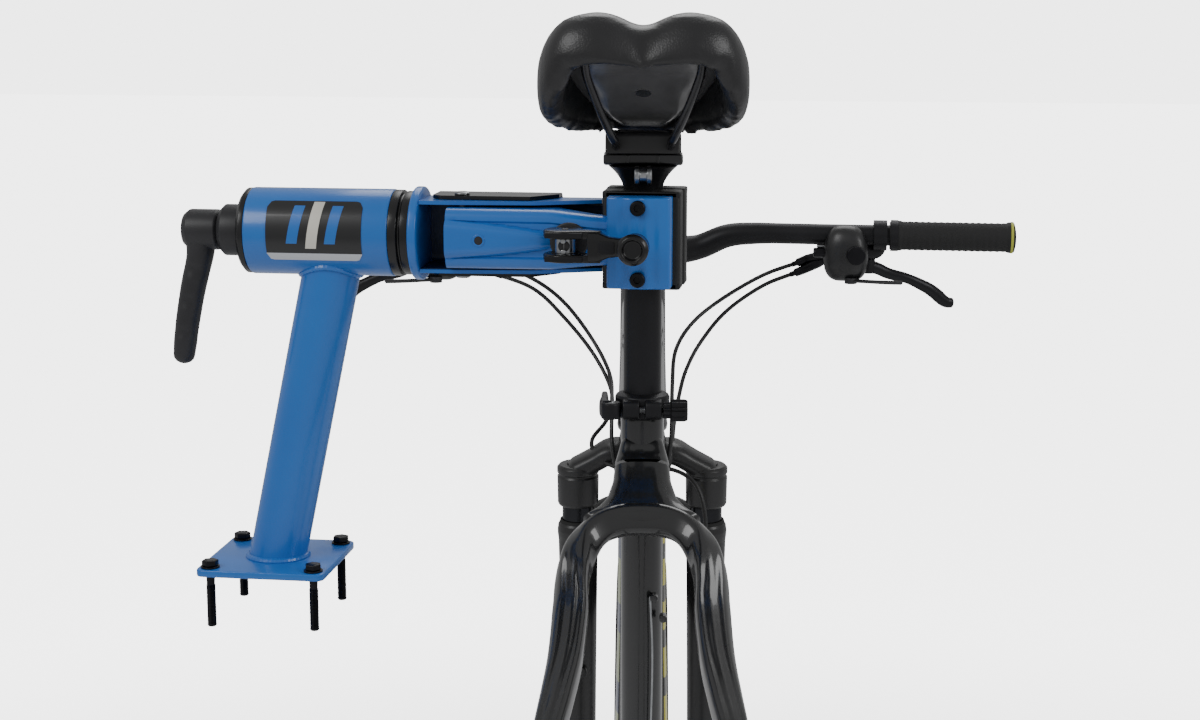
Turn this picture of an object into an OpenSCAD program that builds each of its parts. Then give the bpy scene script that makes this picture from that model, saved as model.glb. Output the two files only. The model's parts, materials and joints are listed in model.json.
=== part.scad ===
// Bicycle held by its seatpost in a bench-mount repair stand.
// +X runs along the clamp arm to the jaws, +Y is away from the user, +Z is up.
// Origin: underside of the base plate, in the middle of its four bolt holes.
// The bicycle hangs nose-down, so that its seat tube is upright, and its rear wheel is out.

/* [Base and column] */
// Side of the square base plate
plate_w = 110; // [80:1:160]
// Thickness of the base plate
plate_t = 6; // [4:0.5:12]
// Corner radius of the base plate
plate_corner_r = 6; // [3:0.5:10]
// Distance between neighbouring bolt holes
bolt_spacing = 89; // [60:1:92]
// Diameter of the base bolts
bolt_d = 8; // [6:0.5:10]
// Length of the base bolts below the plate
bolt_reach = 45; // [30:1:80]
// Outside diameter of the column tube
column_d = 48; // [38:1:58]
// Lean of the column towards the jaws, degrees
column_lean = 12.1; // [0:0.1:18]

/* [Barrel and lock] */
// Height of the barrel axis above the underside of the base plate
axis_h = 286; // [200:1:360]
// Left end of the barrel tube, measured from the base plate's middle
barrel_start = -11; // [-30:1:0]
// Length of the barrel tube
barrel_len = 121; // [100:1:150]
// Outside diameter of the barrel tube
barrel_d = 72; // [66:1:90]
// Wall of the barrel tube
barrel_wall = 4; // [2:0.5:5]
// Diameter of the clamp shaft inside the barrel
shaft_d = 38; // [25:1:42]
// Width of the ring at the lock end
end_ring_w = 7; // [5:0.5:12]
// Width of the double ring at the clamp end
seal_ring_w = 17; // [12:0.5:24]
// Diameter of the lock collar
collar_d = 43; // [36:1:54]
// Diameter of the lock handle's hub
lock_hub_d = 34; // [28:1:42]
// Length of the lock handle's grip, from the axis
lock_grip_len = 114; // [80:1:150]

/* [Clamp] */
// Diameter of the clamp flange
flange_d = 77; // [70:1:96]
// Thickness of the clamp flange
flange_t = 8; // [5:0.5:12]
// Distance from the flange to the middle of the jaws
arm_len = 180; // [165:1:230]
// Height of the rear jaw channel
rear_channel_h = 59; // [56:1:66]
// Height of the front jaw arm
front_arm_h = 49; // [40:1:52]
// Height of the black outer channel
outer_channel_h = 66; // [63:1:72]
// Sheet thickness of the jaw arms
sheet_t = 3; // [2:0.5:3]
// Width of the jaw heads
jaw_w = 51; // [44:1:56]
// Height of the jaw heads
jaw_h = 73; // [60:1:90]
// Width of the rubber pads
pad_w = 63; // [56:1:70]
// Height of the rubber pads
pad_h = 79; // [74:1:95]
// Distance from the jaws' middle to the hinge pin
hinge_back = 148; // [135:1:155]
// Distance from the jaws' middle to the clamp rod
rod_back = 54.5; // [50:0.5:65]
// Diameter of the clamp rod
rod_d = 10; // [8:0.5:12]
// Diameter of the hinge pin
hinge_pin_d = 8; // [6:0.5:10]
// Diameter of the cam lever's knob
knob_d = 25; // [18:1:30]

/* [Bicycle frame] */
// Turn of the bicycle about its seatpost, degrees
bike_yaw = 6.8; // [-10:0.1:12]
// Seat tube angle when the bicycle stands level, degrees
seat_angle = 73; // [72:0.1:75]
// Head tube angle when the bicycle stands level, degrees
head_angle = 70; // [68:0.1:71]
// Distance from the bottom bracket up to the middle of the jaws
grip_h = 570; // [540:1:640]
// Length of the seat tube, bottom bracket to collar
seat_tube_len = 440; // [425:1:450]
// Diameter of the seatpost
post_d = 30.9; // [27.2:0.1:31.6]
// Diameter of the seat tube
seat_tube_d = 34.9; // [34:0.1:38]
// Diameter of the down tube
down_tube_d = 48; // [36:1:50]
// Diameter of the top tube
top_tube_d = 38; // [30:1:40]
// Distance ahead of the seat tube to the fork crown race
crown_forward = 498.7; // [480:1:560]
// Height of the fork crown race above the bottom bracket
crown_up = 290; // [270:1:310]
// Length of the head tube
head_tube_len = 115; // [100:1:130]
// Width of the bottom bracket shell
shell_w = 73; // [68:1:83]
// Wall of the frame's tubes and the stanchions
tube_wall = 2.5; // [1.5:0.1:4]
// Distance behind the bottom bracket to the rear axle line
stay_back = 390; // [370:1:420]
// Height of the rear dropouts above the bottom bracket
stay_up = 182; // [160:1:200]
// Space between the rear dropouts
rear_spacing = 135; // [130:1:142]

/* [Fork and wheel] */
// Distance between the fork legs' axes
leg_spacing = 138; // [132:1:150]
// Diameter of the stanchions
stanchion_d = 34; // [28:0.5:36]
// Distance along the steering axis from the crown race to the axle
axle_down = 480; // [460:1:520]
// Offset of the axle ahead of the steering axis
rake = 42; // [38:1:50]
// Travel of the fork
fork_travel = 80; // [60:1:82]
// Outside radius of the front tyre
tyre_r = 337; // [325:1:345]
// Width of the front tyre
tyre_w = 58; // [48:1:62]
// Bead seat radius of the rim
rim_r = 279.5; // [270:0.5:285]
// Space between the fork dropouts
front_spacing = 100; // [98:1:104]
// Diameter of the brake rotor
rotor_d = 160; // [140:1:180]

/* [Cockpit] */
// Height of the stem's middle above the crown race
stem_up = 192; // [185:1:215]
// Reach of the stem
stem_len = 70; // [50:1:100]
// Half the width of the handlebar, to the grip's end
bar_half = 394; // [340:1:400]
// Diameter of the handlebar at the grips
bar_d = 22.2; // [20:0.1:24]
// Rise of the handlebar
bar_rise = 20; // [5:1:35]
// Length of a grip
grip_len = 122; // [90:1:130]
// Diameter of a grip
grip_d = 32; // [29:1:36]

/* [Saddle and cranks] */
// Length of the saddle
saddle_len = 262; // [240:1:280]
// Width of the saddle
saddle_w = 165; // [140:1:190]
// Length of a crank arm
crank_len = 170; // [160:1:175]
// Outside radius of the chainring
chainring_r = 75; // [60:1:78]
// Width between the outer faces of the crank arms
crank_width = 168; // [160:1:180]

/* [Hidden] */
$fn = 48;

// Clearances
running = 0.05;
seat_gap = 0.03;
swing_gap = 0.4;
bolt_hole_gap = 0.5;
eps = 0.01;

// Places in the stand
barrel_r = barrel_d / 2;
barrel_end = barrel_start + barrel_len;
flange_x = barrel_end + seal_ring_w;
jaw_x = flange_x + flange_t + arm_len;
barrel_bore_r = barrel_r - barrel_wall;
bush_len = 22;
collar_len = 21;
lock_hub_len = 32;
stud_d = 12;
stud_len = 44;

// Places in the clamp, measured from the middle of the jaws
pad_half_gap = 4;
pad_t = 22;
pad_back = pad_half_gap + pad_t;
jaw_head_t = 21;
jaw_shift = 1.5;
front_web_y = -38;
hinge_y = -6;
rear_web_y = 22;
rod_front_y = -60;
rod_rear_y = 54;
washer_d = 31;
washer_t = 4;
cam_r = 17.4;

// Places on the bicycle, seat tube upright, bottom bracket at the middle
pitch = 90 - seat_angle;
steer_tilt = 90 - head_angle - pitch;
post_top = grip_h + pad_h / 2 + 1.5;
post_neck_h = 15;
leg_bottom = 246;
clamp_low = post_top + post_neck_h + 3;
collar_h = 18;
cluster_up = seat_tube_len - 56;
crown_drop = 25;
crown_cap_h = 44;
crown_cap_d = 46;
lower_top = -152;
lower_d = 46;
lower_foot_d = 32;
steerer_d = 28.6;
cup_h = 12;
headset_top = 2 * cup_h + head_tube_len;
head_d = 49;
head_base_d = 55;
leg_x = leg_spacing / 2;
saddle_pivot = grip_h + 67;
saddle_back = 136;
hub_flange_r = 24;
lever_x = 256;
lever_angle = -70;
cam_x = 25.5;

// Routes of the cables, in the bicycle's own axes
left_route = [[-172, 584, 470], [-124, 594, 450], [-88, 602, 422], [-56, 592, 382], [-36, 562, 348],
    [-33, 520, 322], [-32, 430, 280], [-30, 330, 222], [-27, 200, 150]];
front_route = [[-170, 584, 458], [-122, 596, 438], [-88, 598, 406], [-54, 584, 366], [-34, 556, 330],
    [-38, 526, 306], [-54, 506, 287], [-48, 488, 272], [-24, 468, 265], [6, 466, 265],
    [34, 468, 263], [56, 460, 250], [66, 452, 220], [66, 450, 170]];
shift_right_route = [[172, 584, 470], [131, 600, 452], [85, 602, 424], [54, 584, 401], [36, 556, 376],
    [32, 520, 345], [32, 430, 296], [30, 330, 236], [27, 200, 155]];
brake_right_route = [[170, 584, 459], [132, 604, 440], [92, 610, 410], [64, 600, 377], [48, 580, 350],
    [40, 556, 326], [34, 520, 300], [33, 460, 266], [32, 380, 218], [29, 250, 140]];

// Geometry helpers
function unit(v) = v / norm(v);
function part_way(a, b, share) = a + share * (b - a);
function tangent(p, i) = unit(p[min(i + 1, len(p) - 1)] - p[max(i - 1, 0)]);
function level_to_hung(y, z) = [y * cos(pitch) + z * sin(pitch), -y * sin(pitch) + z * cos(pitch)];
function curve_point(a, b, c, d, t) =
    0.5 * (2 * b + (c - a) * t + (2 * a - 5 * b + 4 * c - d) * t * t
    + (3 * b - a - 3 * c + d) * t * t * t);
function smooth(p, steps) = [
    for (i = [0 : len(p) - 2], s = [0 : steps - 1])
        curve_point(p[max(i - 1, 0)], p[i], p[i + 1], p[min(i + 2, len(p) - 1)], s / steps),
    p[len(p) - 1]];
function normals(p, i, last) = let (
        t = tangent(p, i),
        flat = last - (last * t) * t,
        n = unit(flat))
    i == len(p) - 1 ? [n] : concat([n], normals(p, i + 1, n));

// A tube of round section swept along a list of points
module swept(path, d, sides = 8, start = [0.3, 0.2, 1]) {
    n = normals(path, 0, start);
    last = len(path) - 1;
    rings = [for (i = [0 : last], k = [0 : sides - 1])
        let (b = cross(tangent(path, i), n[i]), a = 360 * k / sides)
        path[i] + d / 2 * (cos(a) * n[i] + sin(a) * b)];
    walls = [for (i = [0 : last - 1], k = [0 : sides - 1])
        let (j = (k + 1) % sides)
        [i * sides + k, (i + 1) * sides + k, (i + 1) * sides + j, i * sides + j]];
    head = [for (k = [0 : sides - 1]) k];
    tail = [for (k = [sides - 1 : -1 : 0]) last * sides + k];
    polyhedron(rings, concat([head], walls, [tail]), convexity = 6);
}

// A round bar or cone between two points
module rod(a, b, d1, d2 = 0) {
    v = b - a;
    h = norm(v);
    translate(a)
        rotate([0, acos(v[2] / h), atan2(v[1], v[0])])
            cylinder(h = h, d1 = d1, d2 = d2 == 0 ? d1 : d2);
}

module along_x(x, h, r, r2 = -1) {
    translate([x, 0, 0])
        rotate([0, 90, 0])
            cylinder(h = h, r1 = r, r2 = r2 < 0 ? r : r2);
}

module along_y(y, h, r) {
    translate([0, y, 0])
        rotate([-90, 0, 0])
            cylinder(h = h, r = r);
}

module box(from, to) {
    translate(from) cube(to - from);
}

module ring_x(x, h, r, bore) {
    difference() {
        along_x(x, h, r);
        along_x(x - 1, h + 2, bore);
    }
}

module mirrored_x() {
    children();
    mirror([1, 0, 0]) children();
}

module at_axis() {
    translate([0, 0, axis_h]) children();
}

module at_jaw() {
    translate([jaw_x, 0, axis_h]) children();
}

// The bicycle's own axes: seat tube along Z, forward along Y
module bike() {
    at_jaw()
        rotate([0, 0, bike_yaw])
            translate([0, 0, -grip_h])
                children();
}

// Steering axes in the bicycle's own: origin at the crown race, Z up the steering axis
module in_steering() {
    translate([0, crown_forward, crown_up])
        rotate([steer_tilt, 0, 0])
            children();
}

module steered() {
    bike() in_steering() children();
}

// ---- Stand ----

module base_plate() {
    inner = plate_w / 2 - plate_corner_r;
    color("royalblue")
    difference() {
        union() {
            box([-inner, -plate_w / 2, 0], [inner, plate_w / 2, plate_t]);
            box([-plate_w / 2, -inner, 0], [plate_w / 2, inner, plate_t]);
            for (x = [-inner, inner], y = [-inner, inner])
                translate([x, y, 0]) cylinder(h = plate_t, r = plate_corner_r);
        }
        at_base_bolts() translate([0, 0, -1]) cylinder(h = plate_t + 2, d = bolt_d + bolt_hole_gap);
    }
}

module at_base_bolts() {
    for (x = [-1, 1], y = [-1, 1])
        translate([x * bolt_spacing / 2, y * bolt_spacing / 2, 0]) children();
}

module base_bolts() {
    color("black")
    at_base_bolts() {
        translate([0, 0, plate_t]) cylinder(h = 1.6, d = bolt_d * 2);
        translate([0, 0, plate_t + 1.6]) cylinder(h = 5, d = bolt_d * 1.55);
        translate([0, 0, -bolt_reach]) cylinder(h = bolt_reach - 0.2, d = bolt_d);
        translate([0, 0, -1]) cylinder(h = plate_t + 3, d = bolt_d - 0.6);
    }
}

module column() {
    color("royalblue")
    difference() {
        rotate([0, column_lean, 0])
            translate([0, 0, -30])
                cylinder(h = axis_h + 30, d = column_d);
        rotate([0, column_lean, 0])
            translate([0, 0, -40])
                cylinder(h = axis_h + 60, d = column_d - 6);
        box([-100, -100, -100], [100, 100, plate_t]);
        at_axis() along_x(-200, 500, barrel_r);
        box([-200, -100, axis_h], [300, 100, axis_h + 100]);
    }
}

module barrel() {
    color("royalblue")
    at_axis() ring_x(barrel_start, barrel_len, barrel_r, barrel_bore_r);
}

module barrel_end_ring() {
    color("black")
    at_axis() {
        ring_x(barrel_start - end_ring_w, end_ring_w, barrel_r - 0.5, shaft_d / 2 + 1);
        ring_x(barrel_start, bush_len / 2, barrel_bore_r - seat_gap, barrel_bore_r - 3);
    }
}

module barrel_seal_ring() {
    rib = seal_ring_w * 0.4;
    color("black")
    at_axis() {
        ring_x(barrel_end, rib, barrel_r - 0.5, shaft_d / 2 + 1);
        ring_x(barrel_end + rib, seal_ring_w - 2 * rib, barrel_r - 4, shaft_d / 2 + 1);
        ring_x(barrel_end + seal_ring_w - rib, rib - running, barrel_r - 1.5, shaft_d / 2 + 1);
    }
}

module barrel_bushes() {
    color("ivory")
    at_axis()
        for (x = [barrel_start + bush_len / 2, barrel_end - bush_len])
            ring_x(x, bush_len, barrel_bore_r - seat_gap, shaft_d / 2 + running);
}

// A thin curved badge on the front of the barrel
module badge_plate() {
    w = 80;
    h = 52;
    color("dimgray")
    at_axis()
        intersection() {
            ring_x(barrel_start + 20, w, barrel_r + 0.6, barrel_r);
            box([0, -barrel_r - 5, -h / 2 + 5], [200, -5, h / 2 + 5]);
        }
}

module lock_collar() {
    color("black")
    at_axis()
        difference() {
            union() {
                along_x(barrel_start - end_ring_w - collar_len + 4, collar_len - 4, collar_d / 2);
                along_x(barrel_start - end_ring_w - collar_len, 4, collar_d / 2 - 4, collar_d / 2);
            }
            along_x(-200, 300, stud_d / 2 + running);
        }
}

// Hub on the barrel's axis, with a grip that hangs down and leans outwards
module lock_handle() {
    hub_x = barrel_start - end_ring_w - collar_len - running - lock_hub_len;
    foot = [hub_x + lock_hub_len / 2 - 3, 0, -lock_hub_d / 2 + 6];
    heel = [hub_x - 5, 0, -lock_grip_len + 8];
    color("dimgray")
    at_axis()
        difference() {
            union() {
                along_x(hub_x, lock_hub_len, lock_hub_d / 2);
                rod(foot, heel, 27, 20);
                translate(heel) sphere(d = 20.8);
            }
            along_x(hub_x + 8, 200, stud_d / 2 + running);
        }
}

// ---- Clamp head ----

module clamp_shaft() {
    collar_face = barrel_start - end_ring_w;
    color("silver")
    at_axis() {
        along_x(collar_face + running, flange_x - collar_face - running, shaft_d / 2);
        along_x(collar_face - stud_len, stud_len + 1, stud_d / 2);
    }
}

module clamp_flange() {
    edge = 2;
    color("royalblue")
    at_axis() {
        along_x(flange_x, edge, flange_d / 2 - edge, flange_d / 2);
        along_x(flange_x + edge, flange_t - 2 * edge, flange_d / 2);
        along_x(flange_x + flange_t - edge, edge, flange_d / 2, flange_d / 2 - edge);
    }
}

// Channel open to the front, joined to the rear jaw head
module rear_jaw() {
    h = rear_channel_h / 2;
    front = -26;
    web_end = -jaw_w / 2 + jaw_shift - 9;
    color("royalblue")
    at_jaw()
        difference() {
            union() {
                box([-arm_len, rear_web_y, -h], [web_end, rear_web_y + sheet_t, h]);
                mirrored_z() difference() {
                    box([-arm_len, front, h - sheet_t], [web_end, rear_web_y, h]);
                    translate([web_end, front, h - 10]) rotate([0, 0, -30]) box([-45, -30, 0], [60, 12, 20]);
                }
                box([web_end - 8, rear_web_y, -h + 8], [web_end, pad_back + jaw_head_t, h - 8]);
                box([web_end - 8, pad_back, -h + 8], [jaw_shift - jaw_w / 2, pad_back + jaw_head_t, h - 8]);
                jaw_block(pad_back, 1);
            }
            translate([-hinge_back, hinge_y, -60]) cylinder(h = 120, d = hinge_pin_d + 2 * seat_gap);
            translate([-rod_back, 0, 0]) along_y(0, 90, rod_d / 2 + running);
        }
}

module mirrored_z() {
    children();
    mirror([0, 0, 1]) children();
}

// Jaw head with upright flutes; side is +1 behind the post and -1 in front of it
module jaw_block(back, side) {
    flute_r = 3;
    linear_extrude(height = jaw_h, center = true)
        difference() {
            translate([jaw_shift - jaw_w / 2, side > 0 ? back : -back - jaw_head_t])
                square([jaw_w, jaw_head_t]);
            for (x = [-18, -9, 9, 18])
                translate([jaw_shift + x, side * (back + jaw_head_t + 1.6)]) circle(r = flute_r);
        }
}

module outer_channel() {
    h = outer_channel_h / 2;
    inner = rear_channel_h / 2 + running;
    back = rear_web_y + sheet_t + running;
    flange_end = -59;
    web_end = -rod_back - 16;
    color("black")
    at_jaw()
        difference() {
            union() {
                box([-arm_len + 8, back, -h], [web_end, back + 3, h]);
                mirrored_z() box([-arm_len + 8, -16, inner], [flange_end, back + 3, h]);
            }
            translate([-hinge_back, hinge_y, -60]) cylinder(h = 120, d = hinge_pin_d + 2 * seat_gap);
            mirrored_z() translate([flange_end, -16, 20]) rotate([0, 0, 25]) box([-30, -20, 0], [30, 0, 20]);
        }
}

module hinge_pin() {
    h = outer_channel_h / 2;
    color("silver")
    at_jaw()
        translate([-hinge_back, hinge_y, -h - 2.5]) {
            cylinder(h = 2.5, d = hinge_pin_d * 1.6);
            cylinder(h = 2 * h + 5, d = hinge_pin_d);
            translate([0, 0, 2 * h + 2.5]) cylinder(h = 2.5, d = hinge_pin_d * 1.6);
        }
}

// Rubber pad with an upright half bore for the post
module pad(side, w) {
    y0 = side > 0 ? pad_half_gap : -pad_back;
    difference() {
        box([jaw_shift - w / 2, y0, -pad_h / 2], [jaw_shift + w / 2, y0 + pad_t, pad_h / 2]);
        translate([0, 0, -60]) cylinder(h = 120, d = post_d + 2 * seat_gap);
    }
}

module rear_pad() {
    color("black") at_jaw() pad(1, pad_w + 1.5);
}

module rod_nut() {
    y0 = rear_web_y + sheet_t + running;
    color("dimgray")
    at_jaw()
        translate([-rod_back, 0, 0])
            difference() {
                union() {
                    along_y(y0, 4, 11);
                    along_y(y0 + 4, 10, 8.5);
                }
                along_y(0, 90, rod_d / 2 + running);
            }
}

// ---- Front jaw ----

module front_arm() {
    h = front_arm_h / 2;
    left = -hinge_back - 3;
    right = jaw_shift - jaw_w / 2;
    color("dodgerblue")
    at_jaw()
        difference() {
            union() {
                box([left, front_web_y, -h], [right, front_web_y + sheet_t, h]);
                mirrored_z() {
                    box([left, front_web_y + sheet_t, h - sheet_t], [right - 8, hinge_y, h]);
                    translate([-hinge_back, hinge_y, h - sheet_t]) cylinder(h = sheet_t, r = 8);
                    box([-hinge_back, hinge_y - 1, h - sheet_t], [-70, hinge_y + 4, h]);
                }
            }
            translate([-hinge_back, hinge_y, -60]) cylinder(h = 120, d = hinge_pin_d + 2 * running);
            translate([-rod_back, 0, 0]) {
                along_y(-60, 60, rod_d / 2 + 1);
                translate([6, 0, 0]) along_y(-60, 60, rod_d / 2 + 1);
                box([0, -60, -rod_d / 2 - 1], [6, 0, rod_d / 2 + 1]);
            }
            translate([-127.6, 0, 0]) along_y(-60, 60, 3.5);
            mirrored_z() translate([right - 38, -60, h]) rotate([0, 7.5, 0]) box([0, 0, 0], [60, 60, 20]);
        }
}

module front_jaw_head() {
    color("dodgerblue")
    at_jaw()
        difference() {
            jaw_block(pad_back, -1);
            at_jaw_bolts(-80) rotate([-90, 0, 0]) cylinder(h = 60, d = 6 + 2 * seat_gap);
        }
}

module at_jaw_bolts(y) {
    for (z = [-1, 1])
        translate([jaw_shift, y, z * 28.5]) children();
}

module front_pad() {
    color("black")
    at_jaw()
        difference() {
            pad(-1, pad_w);
            at_jaw_bolts(-pad_back - eps) rotate([-90, 0, 0]) cylinder(h = 8, d = 6 + 2 * seat_gap);
        }
}

module jaw_bolts() {
    color("black")
    at_jaw()
        at_jaw_bolts(-pad_back - jaw_head_t) {
            rotate([-90, 0, 0]) cylinder(h = jaw_head_t + 7, d = 6);
            rotate([90, 0, 0]) cylinder(h = 4, d = 12.5);
        }
}

// ---- Clamp rod and cam lever ----

module clamp_rod() {
    color("silver")
    at_jaw()
        translate([-rod_back, 0, 0])
            difference() {
                union() {
                    along_y(rod_front_y + 3, rod_rear_y - rod_front_y - 3, rod_d / 2);
                    translate([0, rod_front_y, -5.8]) cylinder(h = 11.6, r = 8);
                }
                translate([0, rod_front_y, -20]) cylinder(h = 40, d = 6 + 2 * running);
            }
}

module rod_washer() {
    color("black")
    at_jaw()
        translate([-rod_back, 0, 0])
            difference() {
                along_y(front_web_y - washer_t - running, washer_t, washer_d / 2);
                along_y(-90, 90, rod_d / 2 + seat_gap);
            }
}

module cross_pin() {
    color("silver")
    at_jaw() translate([-rod_back, rod_front_y, -13]) cylinder(h = 26, d = 6);
}

// Two tines on the cross pin, a waist, and the end that carries the knob
module cam_lever() {
    reach = rod_back + 2;
    color("black")
    at_jaw()
        translate([-rod_back, rod_front_y, 0])
            difference() {
                union() {
                    mirrored_z() translate([0, 0, 6.2]) {
                        cylinder(h = 6.3, r = cam_r);
                        box([0, -cam_r + 4, 0], [24, -2, 6.3]);
                    }
                    box([20, -cam_r + 4, -12.5], [32, -2, 12.5]);
                    box([30, -cam_r + 4, -8], [reach - 6, -3, 8]);
                    translate([reach, 0, 0]) along_y(-cam_r + 2, 12, 11);
                }
                translate([0, 0, -30]) cylinder(h = 60, d = 6 + 2 * running);
            }
}

module lever_knob() {
    front = rod_front_y - cam_r + 2;
    color("black")
    at_jaw()
        translate([2, 0, 0]) {
            along_y(front - 10, 10, knob_d / 2);
            along_y(front - 12, 2, knob_d / 2 - 2);
        }
}

// ---- Seatpost and saddle ----

module seatpost() {
    color("black")
    bike()
        difference() {
            union() {
                translate([0, 0, seat_tube_len - 100])
                    cylinder(h = post_top - seat_tube_len + 100, d = post_d);
                translate([0, 0, post_top]) cylinder(h = post_neck_h, d1 = post_d, d2 = 56);
                box([-29, -17, post_top + post_neck_h - 1], [29, 17, clamp_low]);
            }
            at_clamp_bolt() cylinder(h = 40, d = 17);
        }
}

module at_clamp_bolt() {
    translate([0, -18, post_top + 10]) rotate([75, 0, 0]) children();
}

module saddle_clamp() {
    color("black")
    bike()
        difference() {
            box([-32, -18, clamp_low], [32, 18, saddle_pivot + 10]);
            rail_grooves();
            at_clamp_bolt() cylinder(h = 40, d = 17);
        }
}

module rail_grooves() {
    for (x = [-22, 22])
        translate([x, 0, saddle_pivot + 3])
            rotate([-pitch, 0, 0]) along_y(-60, 120, 3.5 + seat_gap);
}

module saddle_clamp_bolt() {
    color("silver")
    bike()
        at_clamp_bolt()
            difference() {
                cylinder(h = 8, d = 14);
                translate([0, 0, 4]) cylinder(h = 5, d = 7, $fn = 6);
            }
}

// Saddle axes: Y forward along the rails, Z up from the rails' clamp
module saddle_axes() {
    bike()
        translate([0, 0, saddle_pivot + 3])
            rotate([-pitch, 0, 0])
                children();
}

module saddle_rails() {
    color("dimgray")
    saddle_axes()
        mirrored_x()
            swept(smooth([[40, -100, 30.4], [34, -72, 15], [22, -40, 0], [22, -24, 0], [22, 24, 0],
                [22, 38, 0], [17, 62, 8], [11, 84, 20], [7, 102, 30.4]], 3), 6.9, 12);
}

module saddle_plan(grow) {
    half = saddle_w / 2 + grow;
    tail = -saddle_back - grow;
    nose = saddle_len - saddle_back + grow;
    polygon([[-half * 0.52, tail], [half * 0.52, tail], [half * 0.86, tail + 14], [half, tail + 50],
        [half * 0.92, tail + 90], [half * 0.5, tail + 132], [23 + grow, tail + 180],
        [19 + grow, nose - 12], [10, nose], [-10, nose], [-19 - grow, nose - 12],
        [-23 - grow, tail + 180], [-half * 0.5, tail + 132], [-half * 0.92, tail + 90],
        [-half, tail + 50], [-half * 0.86, tail + 14]]);
}

module saddle_shell() {
    color("black")
    saddle_axes()
        translate([0, 0, 34])
            linear_extrude(height = 4) saddle_plan(-5 - seat_gap);
}

module saddle_cover() {
    color("black")
    saddle_axes()
        difference() {
            translate([0, 0, 6]) linear_extrude(height = 68) saddle_plan(0);
            translate([0, 0, 5]) linear_extrude(height = 33 + seat_gap) saddle_plan(-5);
            box([-60, 10, 0], [60, 200, 20]);
        }
}

module seat_collar() {
    top = seat_tube_len;
    color("black")
    bike()
        difference() {
            union() {
                translate([0, 0, top - collar_h]) cylinder(h = collar_h + 2, r = seat_tube_d / 2 + 3.5);
                box([-16, -seat_tube_d / 2 - 12, top - collar_h + 1], [16, -seat_tube_d / 2 + 3, top]);
            }
            translate([0, 0, top - collar_h - 1]) cylinder(h = collar_h + 1, d = seat_tube_d + 2 * seat_gap);
            translate([0, 0, top - 2]) cylinder(h = 10, d = post_d + 2 * swing_gap);
            box([-2.5, -40, top - collar_h - 1], [2.5, 0, top + 5]);
            collar_bolt_line() along_x(-60, 120, 2.6);
        }
}

module collar_bolt_line() {
    translate([0, -seat_tube_d / 2 - 6.5, seat_tube_len - collar_h / 2]) children();
}

// Quick-release lever; its cam turns on an upright pin at the left of the collar
module collar_lever() {
    color("black")
    bike()
        collar_bolt_line() {
            difference() {
                translate([-cam_x, 0, -7]) cylinder(h = 14, r = 9);
                translate([-cam_x, 0, -8]) cylinder(h = 16, r = 2.5 + running);
                box([-cam_x - 10, -10, -3.2], [-cam_x + 10, 4, 3.2]);
            }
            box([-cam_x - 11.5, 5, -7], [-cam_x - 4.5, 52, 7]);
        }
}

module collar_nut() {
    color("black")
    bike()
        collar_bolt_line() {
            along_x(-cam_x, cam_x + 37, 2.5);
            translate([-cam_x, 0, -7.5]) cylinder(h = 15, r = 2.5);
            along_x(16 + running, 5, 9.5);
            difference() {
                along_x(16 + running, 21, 9);
                for (a = [0 : 60 : 300])
                    rotate([a, 0, 0]) translate([0, 9.5, 0]) along_x(22, 20, 2.4);
            }
        }
}

// ---- Frame ----

head_low = [0, crown_forward - cup_h * sin(steer_tilt), crown_up + cup_h * cos(steer_tilt)];
head_high = head_low + head_tube_len * [0, -sin(steer_tilt), cos(steer_tilt)];
down_start = [0, 6, 0];
down_end = part_way(head_low, head_high, 0.18);
top_start = [0, 4, cluster_up];
top_end = part_way(head_low, head_high, 0.8);

module frame_skin() {
    translate([0, 0, 0]) cylinder(h = seat_tube_len, d = seat_tube_d);
    translate([-shell_w / 2, 0, 0]) rotate([0, 90, 0]) cylinder(h = shell_w, d = 44);
    rod(part_way(head_low, head_high, -0.03), part_way(head_low, head_high, 1.03), head_base_d, head_d);
    rod(down_start, down_end, down_tube_d);
    rod(top_start, top_end, top_tube_d - 4, top_tube_d);
}

module frame_hollows() {
    translate([0, 0, 24]) cylinder(h = seat_tube_len, d = post_d + 2 * seat_gap);
    translate([-60, 0, 0]) rotate([0, 90, 0]) cylinder(h = 120, d = 36);
    rod(part_way(down_start, down_end, 0.12), part_way(down_start, down_end, 0.9),
        down_tube_d - 2 * tube_wall);
    rod(part_way(top_start, top_end, 0.1), part_way(top_start, top_end, 0.9),
        top_tube_d - 4 - 2 * tube_wall);
    box([-1.2, -40, seat_tube_len - 46], [1.2, 0, seat_tube_len + 5]);
    in_steering() {
        cylinder(h = head_tube_len + 40, d = 38);
        translate([0, 0, cup_h - 80]) cylinder(h = 80, r = 80);
        translate([0, 0, cup_h + head_tube_len]) cylinder(h = 60, r = 60);
    }
}

module frame() {
    color("black")
    bike()
        difference() {
            frame_skin();
            frame_hollows();
        }
}

// One side of the seat stays: cluster, arch, wide hydroformed stay and dropout
module stay_disc(p, w, t) {
    translate(p) scale([w / 20, 1, t / 20]) sphere(d = 20, $fn = 14);
}

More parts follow.
